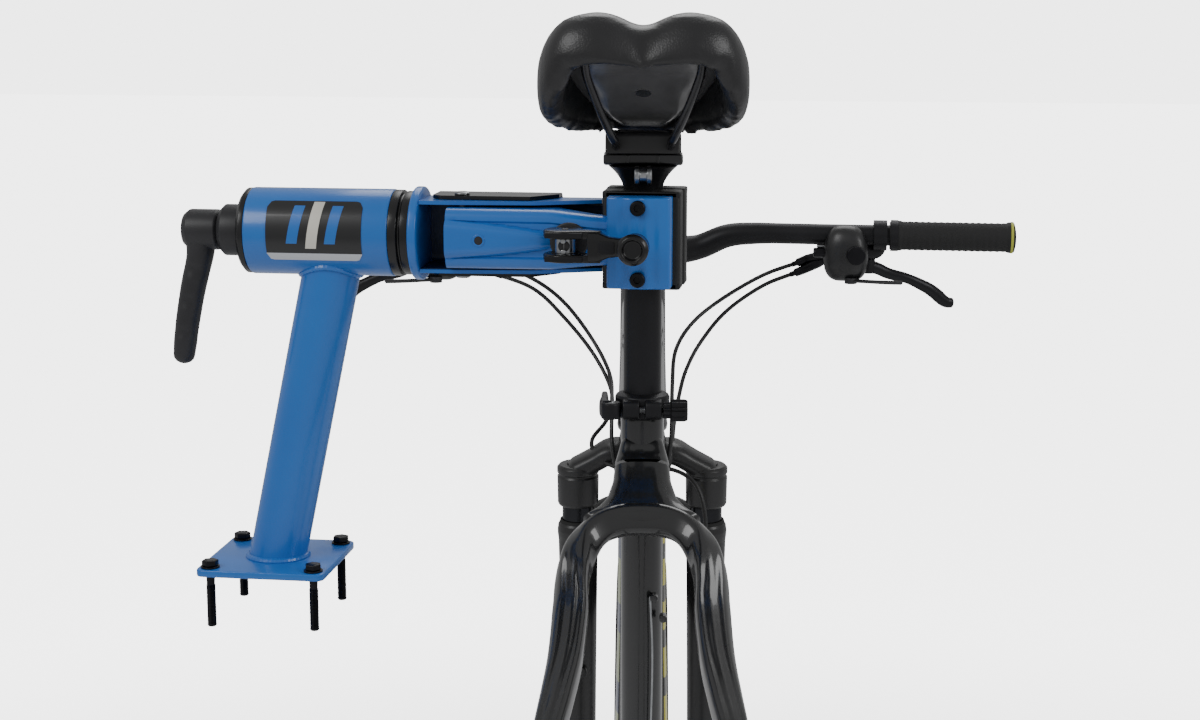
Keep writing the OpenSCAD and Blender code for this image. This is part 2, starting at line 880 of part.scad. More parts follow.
module rear_triangle() {
    arch = [[14, -22, cluster_up - 14, 26, 34], [30, -52, cluster_up - 34, 30, 30],
        [53, -92, cluster_up - 56, 24, 26], [54, -150, cluster_up - 84, 28, 24],
        [56, -195, cluster_up - 106, 30, 22], [66, -262, cluster_up - 140, 22, 18],
        [rear_spacing / 2 + 4, -stay_back + 12, stay_up + 10, 9, 20]];
    chain = [[28, -26, 0, 16, 26], [45, -120, 50, 16, 24], [62, -250, 116, 14, 20],
        [rear_spacing / 2 + 4, -stay_back + 16, stay_up - 6, 9, 18]];
    color("black")
    bike()
        difference() {
            union() {
                mirrored_x() {
                    for (i = [0 : len(arch) - 2])
                        hull() {
                            stay_disc([arch[i][0], arch[i][1], arch[i][2]], arch[i][3], arch[i][4]);
                            stay_disc([arch[i + 1][0], arch[i + 1][1], arch[i + 1][2]],
                                arch[i + 1][3], arch[i + 1][4]);
                        }
                    for (i = [0 : len(chain) - 2])
                        hull() {
                            stay_disc([chain[i][0], chain[i][1], chain[i][2]], chain[i][3], chain[i][4]);
                            stay_disc([chain[i + 1][0], chain[i + 1][1], chain[i + 1][2]],
                                chain[i + 1][3], chain[i + 1][4]);
                        }
                }
                hull() mirrored_x() stay_disc([10, -20, cluster_up - 8], 26, 44);
                hull() mirrored_x() stay_disc([22, -46, cluster_up - 44], 24, 40);
            }
            cylinder(h = seat_tube_len + 5, d = (seat_tube_d + 0.06) / cos(180 / 32), $fn = 32);
            translate([-60, 0, 0])
                rotate([0, 90, 0])
                    cylinder(h = 120, d = 44.06 / cos(180 / 32), $fn = 32);
            for (x = [-1, 1])
                box([x * (rear_spacing / 2 + 10) - 10, -stay_back - 5, stay_up - 30],
                    [x * (rear_spacing / 2 + 10) + 10, -stay_back + 5, stay_up + 4]);
            box([-rear_spacing / 2, -stay_back - 30, stay_up - 40],
                [rear_spacing / 2, -stay_back + 30, stay_up + 40]);
        }
}

module headset_cups() {
    color("dimgray")
    steered()
        for (part = [[0.3, cup_h - 0.3, 25, 23], [cup_h + head_tube_len, cup_h, 22, 18]])
            difference() {
                translate([0, 0, part[0]]) cylinder(h = part[1], r1 = part[2], r2 = part[3]);
                translate([0, 0, part[0] - 1]) cylinder(h = part[1] + 2, d = steerer_d + 2 * running);
            }
}

module bottom_bracket() {
    color("dimgray")
    bike()
        for (side = [-1, 1])
            translate([side * (shell_w / 2 - 6), 0, 0])
                rotate([0, side * 90, 0])
                    difference() {
                        union() {
                            cylinder(h = 6, d = 36 - 2 * seat_gap);
                            translate([0, 0, 6]) cylinder(h = 7, d = 43);
                        }
                        translate([0, 0, -1]) cylinder(h = 20, d = 20 + 2 * running);
                    }
}

// ---- Fork ----

module fork_crown() {
    color("black")
    steered()
        difference() {
            union() {
                translate([0, 0, -crown_drop + 4]) cylinder(h = stem_up + crown_drop + 13, d = steerer_d);
                translate([0, 0, -26]) cylinder(h = 26, r = 24);
                mirrored_x() {
                    rod([0, 0, -14], [leg_x, 0, -crown_drop - 14], 30);
                    translate([leg_x, 0, -crown_drop - crown_cap_h]) cylinder(h = crown_cap_h, d = crown_cap_d);
                }
            }
            mirrored_x()
                translate([leg_x, 0, -crown_drop - crown_cap_h - 30])
                    cylinder(h = crown_cap_h + 22, d = stanchion_d + 2 * seat_gap);
        }
}

module stanchions() {
    color("gray")
    steered()
        mirrored_x()
            translate([leg_x, 0, -leg_bottom])
                difference() {
                    cylinder(h = leg_bottom - crown_drop - 8 - seat_gap, d = stanchion_d);
                    translate([0, 0, -1])
                        cylinder(h = leg_bottom - 50, d = stanchion_d - 2 * tube_wall);
                }
}

module fork_lowers() {
    foot = -axle_down + 8;
    color("black")
    steered()
        difference() {
            union() {
                mirrored_x() {
                    translate([leg_x, 0, lower_top - 22]) cylinder(h = 22, d = lower_d);
                    translate([leg_x, 0, foot]) cylinder(h = lower_top - 22 - foot, d1 = lower_foot_d, d2 = lower_d - 3);
                    box([leg_x - 18, 0, -axle_down - 10], [leg_x - 12, rake + 10, foot + 22]);
                    box([leg_x - 19, -8, foot - 1], [leg_x - 2, 12, foot + 22]);
                    rod([leg_x - 16, 0, -214], [leg_x - 35, 2, -214], 24, 5);
                    translate([leg_x - 10, 30, lower_top - 30]) cylinder(h = 34, d = 14);
                    rod([leg_x, 8, lower_top - 14], [leg_x - 10, 32, lower_top - 14], 16);
                    rod([leg_x - 10, 37, lower_top + 2], [34, 39, -98], 13, 12);
                }
                rod([-36, 39, -98], [36, 39, -98], 12);
            }
            mirrored_x()
                translate([leg_x, 0, -leg_bottom - fork_travel - 4])
                    cylinder(h = 400, d = stanchion_d + 2 * running);
            translate([-100, rake, -axle_down]) along_x(0, 200, 4.6);
        }
}

// ---- Cockpit ----

module stem() {
    color("black")
    steered()
        difference() {
            union() {
                translate([0, 0, stem_up - 20]) cylinder(h = 40, d = 38);
                rod([0, 0, stem_up], [0, stem_len, stem_up], 32);
                translate([-22, stem_len, stem_up]) rotate([0, 90, 0]) cylinder(h = 44, d = 40);
                translate([0, 0, headset_top + 0.1]) cylinder(h = stem_up - 19 - headset_top, d = 36);
            }
            translate([0, 0, 0]) cylinder(h = stem_up + 18, d = steerer_d + 2 * seat_gap);
            translate([-40, stem_len, stem_up]) rotate([0, 90, 0]) cylinder(h = 80, d = 31.8 + 2 * seat_gap);
        }
}

// Points along the right half of the bar, from the stem outwards
bar_route = [[0, 0, 0], [34, 0, 0], [56, 0, 3], [92, -3, bar_rise - 3], [120, -6, bar_rise],
    [250, -17, bar_rise], [bar_half - 3, -29, bar_rise]];

module at_bar() {
    steered() translate([0, stem_len, stem_up]) children();
}

module handlebar() {
    color("black")
    at_bar() {
        translate([-26, 0, 0]) rotate([0, 90, 0]) cylinder(h = 52, d = 31.8);
        mirrored_x() swept(smooth(bar_route, 3), bar_d, 16, [0, 0.1, 1]);
    }
}

sweep_dir = unit([bar_half - 3 - 250, -12, 0]);

// A ring around the bar, at a distance out along its straight outer part
module on_bar(x) {
    translate([x, -17 + (x - 250) * sweep_dir[1] / sweep_dir[0], bar_rise])
        rotate([0, 0, atan2(sweep_dir[1], sweep_dir[0])])
            children();
}

module grips() {
    color("black")
    at_bar()
        mirrored_x()
            on_bar(bar_half - grip_len)
                difference() {
                    along_x(0, grip_len, grip_d / 2);
                    along_x(-1, grip_len - 1, bar_d / 2 + seat_gap);
                }
}

module lever_bodies() {
    color("black")
    at_bar()
        mirrored_x()
            on_bar(lever_x)
                difference() {
                    union() {
                        along_x(-7, 13, bar_d / 2 + 5);
                        rotate([lever_angle, 0, 0]) {
                            box([-48, 16.4, -8], [4, 46, 8]);
                            box([-12, 8, -8], [4, 20, 8]);
                            translate([-66, 26, 0]) rotate([0, 90, 0]) cylinder(h = 20, d = 9);
                        }
                    }
                    along_x(-100, 200, bar_d / 2 + seat_gap);
                    rotate([lever_angle, 0, 0]) box([-24, 29, -5.4], [10, 60, 5.4]);
                }
}

// Right brake blade, in the steering axes
module brake_blade() {
    translate([0, stem_len, stem_up])
        on_bar(lever_x)
            rotate([lever_angle, 0, 0]) {
                translate([-14, 38, -5]) cylinder(h = 10, r = 6);
                swept(smooth([[-14, 41, 0], [8, 48, 0], [31, 53, 0], [53, 67, 0], [76, 88, 0]], 2), 9.8, 10);
            }
}

module brake_lever_right() {
    color("black") steered() brake_blade();
}

module brake_lever_left() {
    color("black") steered() mirror([1, 0, 0]) brake_blade();
}

module shifters() {
    color("black")
    at_bar()
        mirrored_x()
            on_bar(lever_x - 21)
                difference() {
                    union() {
                        along_x(-5, 10, bar_d / 2 + 4.5);
                        rotate([lever_angle - 25, 0, 0]) {
                            box([-24, 8, -34], [6, 44, -9.5]);
                            translate([-42, 24, -20]) rotate([0, 90, 0]) cylinder(h = 20, d = 8);
                            translate([-12, 44, -22]) rotate([-90, 0, 0]) cylinder(h = 8, r = 3);
                        }
                    }
                    along_x(-100, 200, bar_d / 2 + 0.25);
                }
}

// Right thumb lever, on an upright pin under the shifter, in the steering axes
module shift_lever() {
    translate([0, stem_len, stem_up])
        on_bar(lever_x - 21)
            rotate([lever_angle - 25, 0, 0])
                translate([-12, 44.3, -22])
                    rotate([-90, 0, 0])
                        difference() {
                            union() {
                                cylinder(h = 5, r = 8);
                                linear_extrude(height = 5)
                                    polygon([[0, -8], [52, 2], [58, 8], [52, 14], [0, 8]]);
                            }
                            translate([0, 0, -1]) cylinder(h = 20, r = 3 + running);
                        }
}

module shift_lever_right() {
    color("black") steered() shift_lever();
}

module shift_lever_left() {
    color("black") steered() mirror([1, 0, 0]) shift_lever();
}

// ---- Cables ----

module cable(route) {
    swept(smooth(route, 3), 4.6, 8);
}

// The two shift cables and the rear brake cable, from the bar to the down tube
module frame_cables() {
    color("black")
    bike() {
        cable(left_route);
        cable(shift_right_route);
        cable(brake_right_route);
    }
}

module brake_hose() {
    color("black") bike() cable(front_route);
}

// ---- Front wheel ----

module at_front_axle() {
    steered() translate([0, rake, -axle_down]) children();
}

module front_hub() {
    half = front_spacing / 2 - running;
    color("black")
    at_front_axle() {
        along_x(-half, 2 * half, 9);
        along_x(-30, 60, 15);
        for (x = [-32, 29]) along_x(x, 3, hub_flange_r);
        along_x(-half - 14, 2 * half + 28, 4.5);
        difference() {
            along_x(-40, 2, rotor_d / 2);
            along_x(-41, 4, rotor_d / 2 - 14);
        }
        for (a = [0 : 60 : 300])
            rotate([a, 0, 0]) box([-40, 7, -4], [-38, rotor_d / 2 - 12, 4]);
    }
}

module front_spokes() {
    color("silver")
    at_front_axle()
        for (side = [-1, 1], a = [0 : 22.5 : 337.5])
            rotate([a + side * 5.6, 0, 0])
                rod([side * 30.5, 0, hub_flange_r + 0.1], [side * 3, 0, rim_r - 13.1], 2);
}

module front_rim() {
    color("black")
    at_front_axle()
        rotate([0, 90, 0])
            rotate_extrude($fn = 96)
                difference() {
                    polygon([[rim_r - 13, -7], [rim_r - 6, -14], [rim_r + 6, -15], [rim_r + 6, 15],
                        [rim_r - 6, 14], [rim_r - 13, 7]]);
                    polygon([[rim_r + 1, -12], [rim_r + 7, -12], [rim_r + 7, 12], [rim_r + 1, 12]]);
                }
}

module front_tyre() {
    section_r = tyre_w / 2;
    color("black")
    at_front_axle()
        rotate([0, 90, 0])
            rotate_extrude($fn = 96)
                difference() {
                    intersection() {
                        translate([tyre_r - section_r, 0]) circle(r = section_r);
                        translate([rim_r + 6 + seat_gap, -40]) square([100, 80]);
                    }
                    translate([tyre_r - section_r, 0]) circle(r = section_r - 4);
                }
}

// ---- Cranks ----

module crankset() {
    half = crank_width / 2;
    color("black")
    bike() {
        along_x(-half + 2, crank_width - 4, 10);
        for (side = [-1, 1])
            translate([side * (half - 6), 0, 0]) {
                rotate([0, 90, 0]) translate([0, 0, -6]) cylinder(h = 12, r = 18);
                crank_arm(side);
            }
        difference() {
            along_x(half - 33, 3, chainring_r);
            along_x(half - 34, 5, chainring_r - 18);
        }
        for (a = [0 : 90 : 270])
            rotate([a, 0, 0]) box([half - 33, 8, -7], [half - 29, chainring_r - 15, 7]);
        along_x(half - 33, 26, 20);
    }
}

module crank_arm(side) {
    dir = side > 0 ? 1 : -1;
    difference() {
        union() {
            translate([-6, 0, -13]) box([0, dir > 0 ? 0 : -crank_len, 0], [12, dir > 0 ? crank_len : 0, 26]);
            translate([0, dir * crank_len, 0]) rotate([0, 90, 0]) translate([0, 0, -6]) cylinder(h = 12, r = 13);
        }
        translate([-20, dir * crank_len, 0]) along_x(0, 40, 7 + running);
    }
}

module pedal(side) {
    half = crank_width / 2;
    color("dimgray")
    bike()
        translate([side * half, side * crank_len, 0])
            rotate([0, side * 90, 0]) {
                translate([0, 0, -10]) cylinder(h = 20, r = 7);
                translate([0, 0, 9]) cylinder(h = 90, r = 10);
                difference() {
                    box([-14, -45, 14], [14, 45, 96]);
                    box([-20, -38, 22], [20, -13, 88]);
                    box([-20, 13, 22], [20, 38, 88]);
                }
            }
}

module pedal_left() {
    pedal(-1);
}

module pedal_right() {
    pedal(1);
}

base_plate();
base_bolts();
column();
barrel();
barrel_end_ring();
barrel_seal_ring();
barrel_bushes();
badge_plate();
lock_collar();
lock_handle();
clamp_shaft();
clamp_flange();
rear_jaw();
outer_channel();
hinge_pin();
rear_pad();
rod_nut();
front_arm();
front_jaw_head();
front_pad();
jaw_bolts();
clamp_rod();
rod_washer();
cross_pin();
cam_lever();
lever_knob();
seatpost();
saddle_clamp();
saddle_clamp_bolt();
saddle_rails();
saddle_shell();
saddle_cover();
seat_collar();
collar_lever();
collar_nut();
frame();
rear_triangle();
headset_cups();
bottom_bracket();
fork_crown();
stanchions();
fork_lowers();
stem();
handlebar();
grips();
lever_bodies();
brake_lever_left();
brake_lever_right();
shifters();
shift_lever_left();
shift_lever_right();
frame_cables();
brake_hose();
front_hub();
front_spokes();
front_rim();
front_tyre();
crankset();
pedal_left();
pedal_right();
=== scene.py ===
"""Looks of a bicycle held by its seatpost in a bench-mount repair stand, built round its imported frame."""

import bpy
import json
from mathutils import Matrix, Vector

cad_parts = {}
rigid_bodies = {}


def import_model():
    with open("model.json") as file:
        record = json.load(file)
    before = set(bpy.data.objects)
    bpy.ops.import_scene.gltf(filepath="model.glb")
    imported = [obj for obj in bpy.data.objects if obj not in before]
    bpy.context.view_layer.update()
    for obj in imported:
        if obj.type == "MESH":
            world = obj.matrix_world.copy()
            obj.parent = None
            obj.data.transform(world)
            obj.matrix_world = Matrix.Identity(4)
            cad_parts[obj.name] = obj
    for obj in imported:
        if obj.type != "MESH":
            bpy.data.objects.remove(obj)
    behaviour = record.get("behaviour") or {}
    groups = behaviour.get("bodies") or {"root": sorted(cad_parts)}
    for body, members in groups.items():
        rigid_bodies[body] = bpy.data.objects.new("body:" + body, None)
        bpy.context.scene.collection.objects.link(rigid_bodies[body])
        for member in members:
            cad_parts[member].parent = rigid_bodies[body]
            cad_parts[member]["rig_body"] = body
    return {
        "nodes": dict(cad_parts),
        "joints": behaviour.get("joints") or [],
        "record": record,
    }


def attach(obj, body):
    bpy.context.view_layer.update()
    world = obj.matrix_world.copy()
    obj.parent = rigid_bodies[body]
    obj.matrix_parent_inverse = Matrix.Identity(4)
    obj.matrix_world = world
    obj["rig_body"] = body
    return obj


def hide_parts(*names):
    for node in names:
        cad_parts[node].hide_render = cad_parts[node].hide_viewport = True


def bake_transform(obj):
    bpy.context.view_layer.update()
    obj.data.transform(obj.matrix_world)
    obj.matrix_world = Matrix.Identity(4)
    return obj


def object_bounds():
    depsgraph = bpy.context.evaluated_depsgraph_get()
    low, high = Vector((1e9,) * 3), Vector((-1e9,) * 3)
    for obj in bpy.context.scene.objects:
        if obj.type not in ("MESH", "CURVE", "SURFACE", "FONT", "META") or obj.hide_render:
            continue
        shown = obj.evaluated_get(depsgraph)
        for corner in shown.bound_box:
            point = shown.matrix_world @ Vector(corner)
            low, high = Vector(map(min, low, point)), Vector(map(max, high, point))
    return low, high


bl_info = {
    "name": "Bicycle on stand",
    "version": (1, 0, 0),
    "blender": (4, 5, 0),
    "location": "View3D > Sidebar > Bicycle stand",
    "description": "Builds the finished surfaces of a repair stand and the bicycle that it holds",
    "category": "Add Mesh",
}

import json
import math

import bmesh
import bpy
import numpy as np
from bpy.props import FloatProperty, FloatVectorProperty, IntProperty, PointerProperty
from mathutils import Matrix, Vector

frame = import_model()
CAD_BOX = [list(corner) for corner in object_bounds()]
JOINTS = {joint["name"]: joint for joint in frame["joints"]}
MM = 0.001
POST_R, SEAT_TUBE_R = 30.9 / 2, 34.9 / 2  # radii of standard tubes, in mm
ROD_X = -54.5  # the clamp rod, left of the post, in mm


# ---- Axes of the object's parts, taken from the frame's joints ----


def axes(origin, x, z):
    """Matrix from local millimetres to the row frame in metres: X and Z as given, Y square to both."""
    x, z = (np.array(v, float) / np.linalg.norm(v) for v in (x, z))
    y = np.cross(z, x)
    made = np.eye(4)
    made[:3, 0], made[:3, 1], made[:3, 2] = x * MM, y * MM, z * MM
    made[:3, 3] = origin
    return made


def turned(matrix, angle, axis=(1, 0, 0), shift=(0, 0, 0)):
    """The same axes moved by shift, in their own millimetres, and then turned about one of them."""
    move = np.eye(4)
    move[:3, 3] = shift
    return matrix @ move @ np.array(Matrix.Rotation(math.radians(angle), 4, Vector(axis)))


def joint_pos(name):
    """Where a joint stands, in the row frame."""
    return np.array(JOINTS[name]["pos_m"], float)


UP = (0, 0, 1)
BENCH = axes((0, 0, 0), (1, 0, 0), UP)
BARREL = axes((0, 0, joint_pos("clamp_turn")[2]), (1, 0, 0), UP)
BB = joint_pos("crank_spin")
JAW_POINT = np.array([BB[0], BB[1], joint_pos("clamp_turn")[2]])
JAWS = axes(JAW_POINT, (1, 0, 0), UP)
BIKE = axes(BB, JOINTS["crank_spin"]["axis"], UP)
GRIP_H = (JAW_POINT[2] - BB[2]) / MM
SADDLE = turned(BIKE, -17, shift=(0, 0, GRIP_H + 70))
RAISED = turned(SADDLE, 0, shift=(0, 0, 13))
STEER = axes(joint_pos("steering"), JOINTS["crank_spin"]["axis"], JOINTS["steering"]["axis"])
WHEEL = axes(joint_pos("wheel_spin"), JOINTS["crank_spin"]["axis"], JOINTS["steering"]["axis"])


def node_points(node, matrix):
    """A CAD node's vertices in the axes of a part, in millimetres."""
    count = len(frame["nodes"][node].data.vertices)
    co = np.zeros(count * 3)
    frame["nodes"][node].data.vertices.foreach_get("co", co)
    return (co.reshape(-1, 3) - matrix[:3, 3]) @ np.linalg.inv(matrix[:3, :3]).T


def span(node, matrix):
    """Lowest and highest corner of a CAD node in the axes of a part, in millimetres."""
    points = node_points(node, matrix)
    return points.min(0), points.max(0)


def local(matrix, point):
    """A point of the row frame, in metres, in the axes of a part, in millimetres."""
    return (np.linalg.inv(matrix) @ np.append(point, 1))[:3]


# ---- Surfaces ----


def at(matrix, points):
    """Local millimetres to the row frame."""
    return np.asarray(points, float) @ matrix[:3, :3].T + matrix[:3, 3]


def grid(points, matrix, close_u=False, close_v=True, caps=True, paint=0):
    """A grid of points, rows by columns, as quads. close_u joins the last row to the first and
    close_v the last column to the first; caps fill the first and last rows when they are loops."""
    rows, columns = points.shape[:2]
    index = np.arange(rows * columns).reshape(rows, columns)
    if close_u:
        index = np.vstack([index, index[:1]])
    if close_v:
        index = np.hstack([index, index[:, :1]])
    quads = np.stack([index[:-1, :-1], index[:-1, 1:], index[1:, 1:], index[1:, :-1]], -1)
    faces = quads.reshape(-1, 4).tolist()
    if caps and close_v and not close_u:
        faces += [index[0, :columns].tolist(), index[rows - 1, :columns].tolist()]
    return at(matrix, points.reshape(-1, 3)), faces, paint


def rounded(points, radius, steps=5):
    """A closed outline whose corners are rounded: the curve leaves each side at the tangent point of
    a circle of that radius and runs to the next side as a parabola's arc."""
    p = np.array(points, float)
    r = np.broadcast_to(np.asarray(radius, float), len(p)).copy()
    before, after = np.roll(p, 1, 0) - p, np.roll(p, -1, 0) - p
    lb, la = np.linalg.norm(before, axis=1), np.linalg.norm(after, axis=1)
    cosine = np.clip((before * after).sum(1) / (lb * la), -0.999, 0.999)
    cut = np.minimum(np.minimum(r / np.tan(np.arccos(cosine) / 2), 0.49 * lb), 0.49 * la)
    start, end = p + before * (cut / lb)[:, None], p + after * (cut / la)[:, None]
    t = np.linspace(0, 1, steps + 1)[None, :, None]
    arcs = (1 - t) ** 2 * start[:, None] + 2 * t * (1 - t) * p[:, None] + t**2 * end[:, None]
    keep = np.ones((len(p), steps + 1), bool)
    keep[r == 0, 1:] = False
    return arcs[keep]


def arc(centre, radius, start, end, steps=12):
    """Points on a circle's arc, angles in degrees."""
    a = np.radians(np.linspace(start, end, steps))
    return np.stack([centre[0] + radius * np.cos(a), centre[1] + radius * np.sin(a)], -1)


def lathe(profile, matrix, sides=64, ring=False, paint=0, axis="x"):
    """A profile of (distance along, radius) turned round the local X axis, or another."""
    p = np.asarray(profile, float)
    a = np.linspace(0, 2 * np.pi, sides, endpoint=False)
    along = np.repeat(p[:, :1], sides, 1)
    c, s = p[:, 1:2] * np.cos(a), p[:, 1:2] * np.sin(a)
    order = {"x": (along, c, s), "y": (s, along, c), "z": (c, s, along)}[axis]
    return grid(np.stack(order, -1), matrix, close_u=ring, caps=not ring, paint=paint)


def bar(x0, x1, r, matrix, edge=0.6, axis="x", bore=0, sides=48, paint=0):
    """A round bar or ring with softened edges, from x0 to x1 along the axis."""
    edge = min(edge, (x1 - x0) * 0.45)
    if bore:
        corners = [(x0, bore), (x0, r), (x1, r), (x1, bore)]
        return lathe(rounded(corners, [0.3 * edge, edge, edge, 0.3 * edge], 3), matrix, sides, True, paint, axis)
    outline = rounded([(x0, 0), (x0, r), (x1, r), (x1, 0)], [0, edge, edge, 0], 3)
    return lathe(outline, matrix, sides, False, paint, axis)


def curve(points, count=40):
    """A smooth curve through the points: Catmull-Rom, sampled evenly in each span."""
    p = np.asarray(points, float)
    padded = np.vstack([2 * p[0] - p[1], p, 2 * p[-1] - p[-2]])
    s = np.linspace(0, len(p) - 1 - 1e-9, count)
    i = s.astype(int)
    t = (s - i)[:, None]
    a, b, c, d = padded[i], padded[i + 1], padded[i + 2], padded[i + 3]
    return 0.5 * (2 * b + (c - a) * t + (2 * a - 5 * b + 4 * c - d) * t**2 + (3 * b - a - 3 * c + d) * t**3)


def circle(sides=16):
    """A unit circle's points."""
    a = np.linspace(0, 2 * np.pi, sides, endpoint=False)
    return np.stack([np.cos(a), np.sin(a)], -1)


def rounded_square(sides, across, up=None):
    """A unit section between a circle and a square: cosine and sine, each raised to its power."""
    c, s = circle(sides).T
    return np.stack([np.sign(c) * np.abs(c) ** across, np.sign(s) * np.abs(s) ** (up or across)], -1)


def tube(path, size, matrix, up=(0, 0, 1), section=None, paint=0, dome=False):
    """A section carried along a path. size is a radius, one radius a point, or (across, along up) a
    point; dome closes both ends with a quarter-round."""
    p = np.asarray(path, float)
    section = circle(16) if section is None else np.asarray(section, float)
    size = np.asarray(size, float)
    size = np.broadcast_to(size[:, None] if size.ndim == 1 else size, (len(p), 2)).copy()
    t = np.gradient(p, axis=0)
    t /= np.linalg.norm(t, axis=1, keepdims=True)
    if dome:
        a = np.linspace(0, np.pi / 2, 5)[:-1]
        head = p[0] - t[0] * 0.8 * size[0].min() * np.sin(np.pi / 2 - a)[:, None]
        tail = p[-1] + t[-1] * 0.8 * size[-1].min() * np.cos(a[::-1])[:, None]
        small = np.maximum(np.sin(a)[:, None], 0.02)
        p = np.vstack([head, p, tail])
        size = np.vstack([size[0] * small, size, size[-1] * small[::-1]])
        t = np.vstack([np.repeat(t[:1], 4, 0), t, np.repeat(t[-1:], 4, 0)])
    side = np.cross(np.asarray(up, float), t)
    side /= np.linalg.norm(side, axis=1, keepdims=True)
    top = np.cross(t, side)
    rings = (
        p[:, None]
        + side[:, None] * (section[None, :, :1] * size[:, None, :1])
        + top[:, None] * (section[None, :, 1:] * size[:, None, 1:])
    )
    return grid(rings, matrix, paint=paint)


def slab(outline, low, high, matrix, edge=0.8, steps=3, axis="z", paint=0):
    """An outline extruded along one axis, with its two rims rounded: each ring of the rim is the
    outline moved inwards along its own normals."""
    o = np.asarray(outline, float)
    t = np.roll(o, -1, 0) - np.roll(o, 1, 0)
    t /= np.maximum(np.linalg.norm(t, axis=1, keepdims=True), 1e-9)
    area = (o[:, 0] * np.roll(o[:, 1], -1) - np.roll(o[:, 0], -1) * o[:, 1]).sum()
    inward = np.stack([-t[:, 1], t[:, 0]], -1) * np.sign(area)
    a = np.linspace(0, np.pi / 2, steps + 1)
    inset = edge * (1 - np.sin(a))
    height = np.concatenate([low + edge * (1 - np.cos(a)), high - edge * (1 - np.cos(a))[::-1]])
    inset = np.concatenate([inset, inset[::-1]])
    flat = o[None] + inward[None] * inset[:, None, None]
    z = np.repeat(height[:, None], len(o), 1)
    u, v = flat[..., 0], flat[..., 1]
    order = {"z": (u, v, z), "y": (u, z, v), "x": (z, u, v)}[axis]
    return grid(np.stack(order, -1), matrix, paint=paint)


def thick(points, t, matrix, paint=0):
    """A sheet of thickness t either side of a grid of points, along the grid's own normals."""
    p = np.asarray(points, float)
    n = np.cross(np.gradient(p, axis=0), np.gradient(p, axis=1))
    n /= np.maximum(np.linalg.norm(n, axis=2, keepdims=True), 1e-9)
    both = np.concatenate([p + n * t / 2, (p - n * t / 2)[:, ::-1]], 1)
    return grid(both, matrix, paint=paint)


def mirrored(parts, matrix):
    """The parts and their mirror images across the local YZ plane of the axes given."""
    flip = matrix @ np.diag([-1, 1, 1, 1]) @ np.linalg.inv(matrix)
    return list(parts) + [(v @ flip[:3, :3].T + flip[:3, 3], f, m) for v, f, m in parts]


def box_outline(x0, y0, x1, y1, radius=1.0):
    """A rectangle with rounded corners."""
    return rounded([(x0, y0), (x1, y0), (x1, y1), (x0, y1)], radius, 4)


def piece(name, parts, body, materials, replaced=(), crease=40):
    """One object from several closed surfaces: doubles merged, normals outwards, creases kept sharp."""
    verts, faces, paints, start = [], [], [], 0
    for points, quads, paint in parts:
        verts.append(points)
        faces += [[i + start for i in q] for q in quads]
        paints += [paint] * len(quads)
        start += len(points)
    mesh = bpy.data.meshes.new(name)
    mesh.from_pydata(np.vstack(verts).tolist(), [], faces)
    mesh.polygons.foreach_set("material_index", paints)
    made = bpy.data.objects.new(name, mesh)
    bpy.context.scene.collection.objects.link(made)
    for material in materials if isinstance(materials, (list, tuple)) else [materials]:
        mesh.materials.append(material)
    bm = bmesh.new()
    bm.from_mesh(mesh)
    bmesh.ops.remove_doubles(bm, verts=bm.verts, dist=2e-6)
    bmesh.ops.dissolve_degenerate(bm, edges=bm.edges, dist=1e-7)
    bmesh.ops.recalc_face_normals(bm, faces=bm.faces)
    for edge in bm.edges:
        edge.smooth = edge.calc_face_angle(0) < math.radians(crease)
    for face in bm.faces:
        face.smooth = True
    bm.to_mesh(mesh)
    bm.free()
    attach(made, body)
    if replaced:
        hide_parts(*([replaced] if isinstance(replaced, str) else replaced))
    return made


# ---- Materials ----


def colour(hex_code):
    """An sRGB hex colour as linear red, green, blue and alpha."""
    c = np.array([int(hex_code[i : i + 2], 16) / 255 for i in (1, 3, 5)])
    linear = np.where(c <= 0.04045, c / 12.92, ((c + 0.055) / 1.055) ** 2.4)
    return (*linear.tolist(), 1.0)


def add(tree, kind, inputs=None, **settings):
    """A node with its settings, values and links."""
    made = tree.nodes.new(kind)
    for name, value in settings.items():
        setattr(made, name, value)
    for socket, value in (inputs or {}).items():
        if isinstance(value, bpy.types.NodeSocket):
            tree.links.new(value, made.inputs[socket])
        else:
            made.inputs[socket].default_value = value
    return made


def blank(name, **sockets):
    """A material with one Principled shader, whose constant sockets are set on it."""
    made = bpy.data.materials.new(name)
    made.use_nodes = True
    tree = made.node_tree
    tree.nodes.clear()
    shader = add(tree, "ShaderNodeBsdfPrincipled", {k.replace("_", " "): v for k, v in sockets.items()})
    add(tree, "ShaderNodeOutputMaterial", {"Surface": shader.outputs["BSDF"]})
    place = add(tree, "ShaderNodeTexCoord")
    return made, tree, shader, place.outputs["Object"]


def two_tone(tree, shader, factor, low, high):
    """Base colour between two hex colours by a factor."""
    ramp = add(tree, "ShaderNodeValToRGB", {"Fac": factor})
    ramp.color_ramp.elements[0].color = colour(low)
    ramp.color_ramp.elements[1].color = colour(high)
    tree.links.new(ramp.outputs["Color"], shader.inputs["Base Color"])
    return ramp


def between(tree, factor, low, high):
    return add(tree, "ShaderNodeMapRange", {"Value": factor, "To Min": low, "To Max": high}).outputs["Result"]


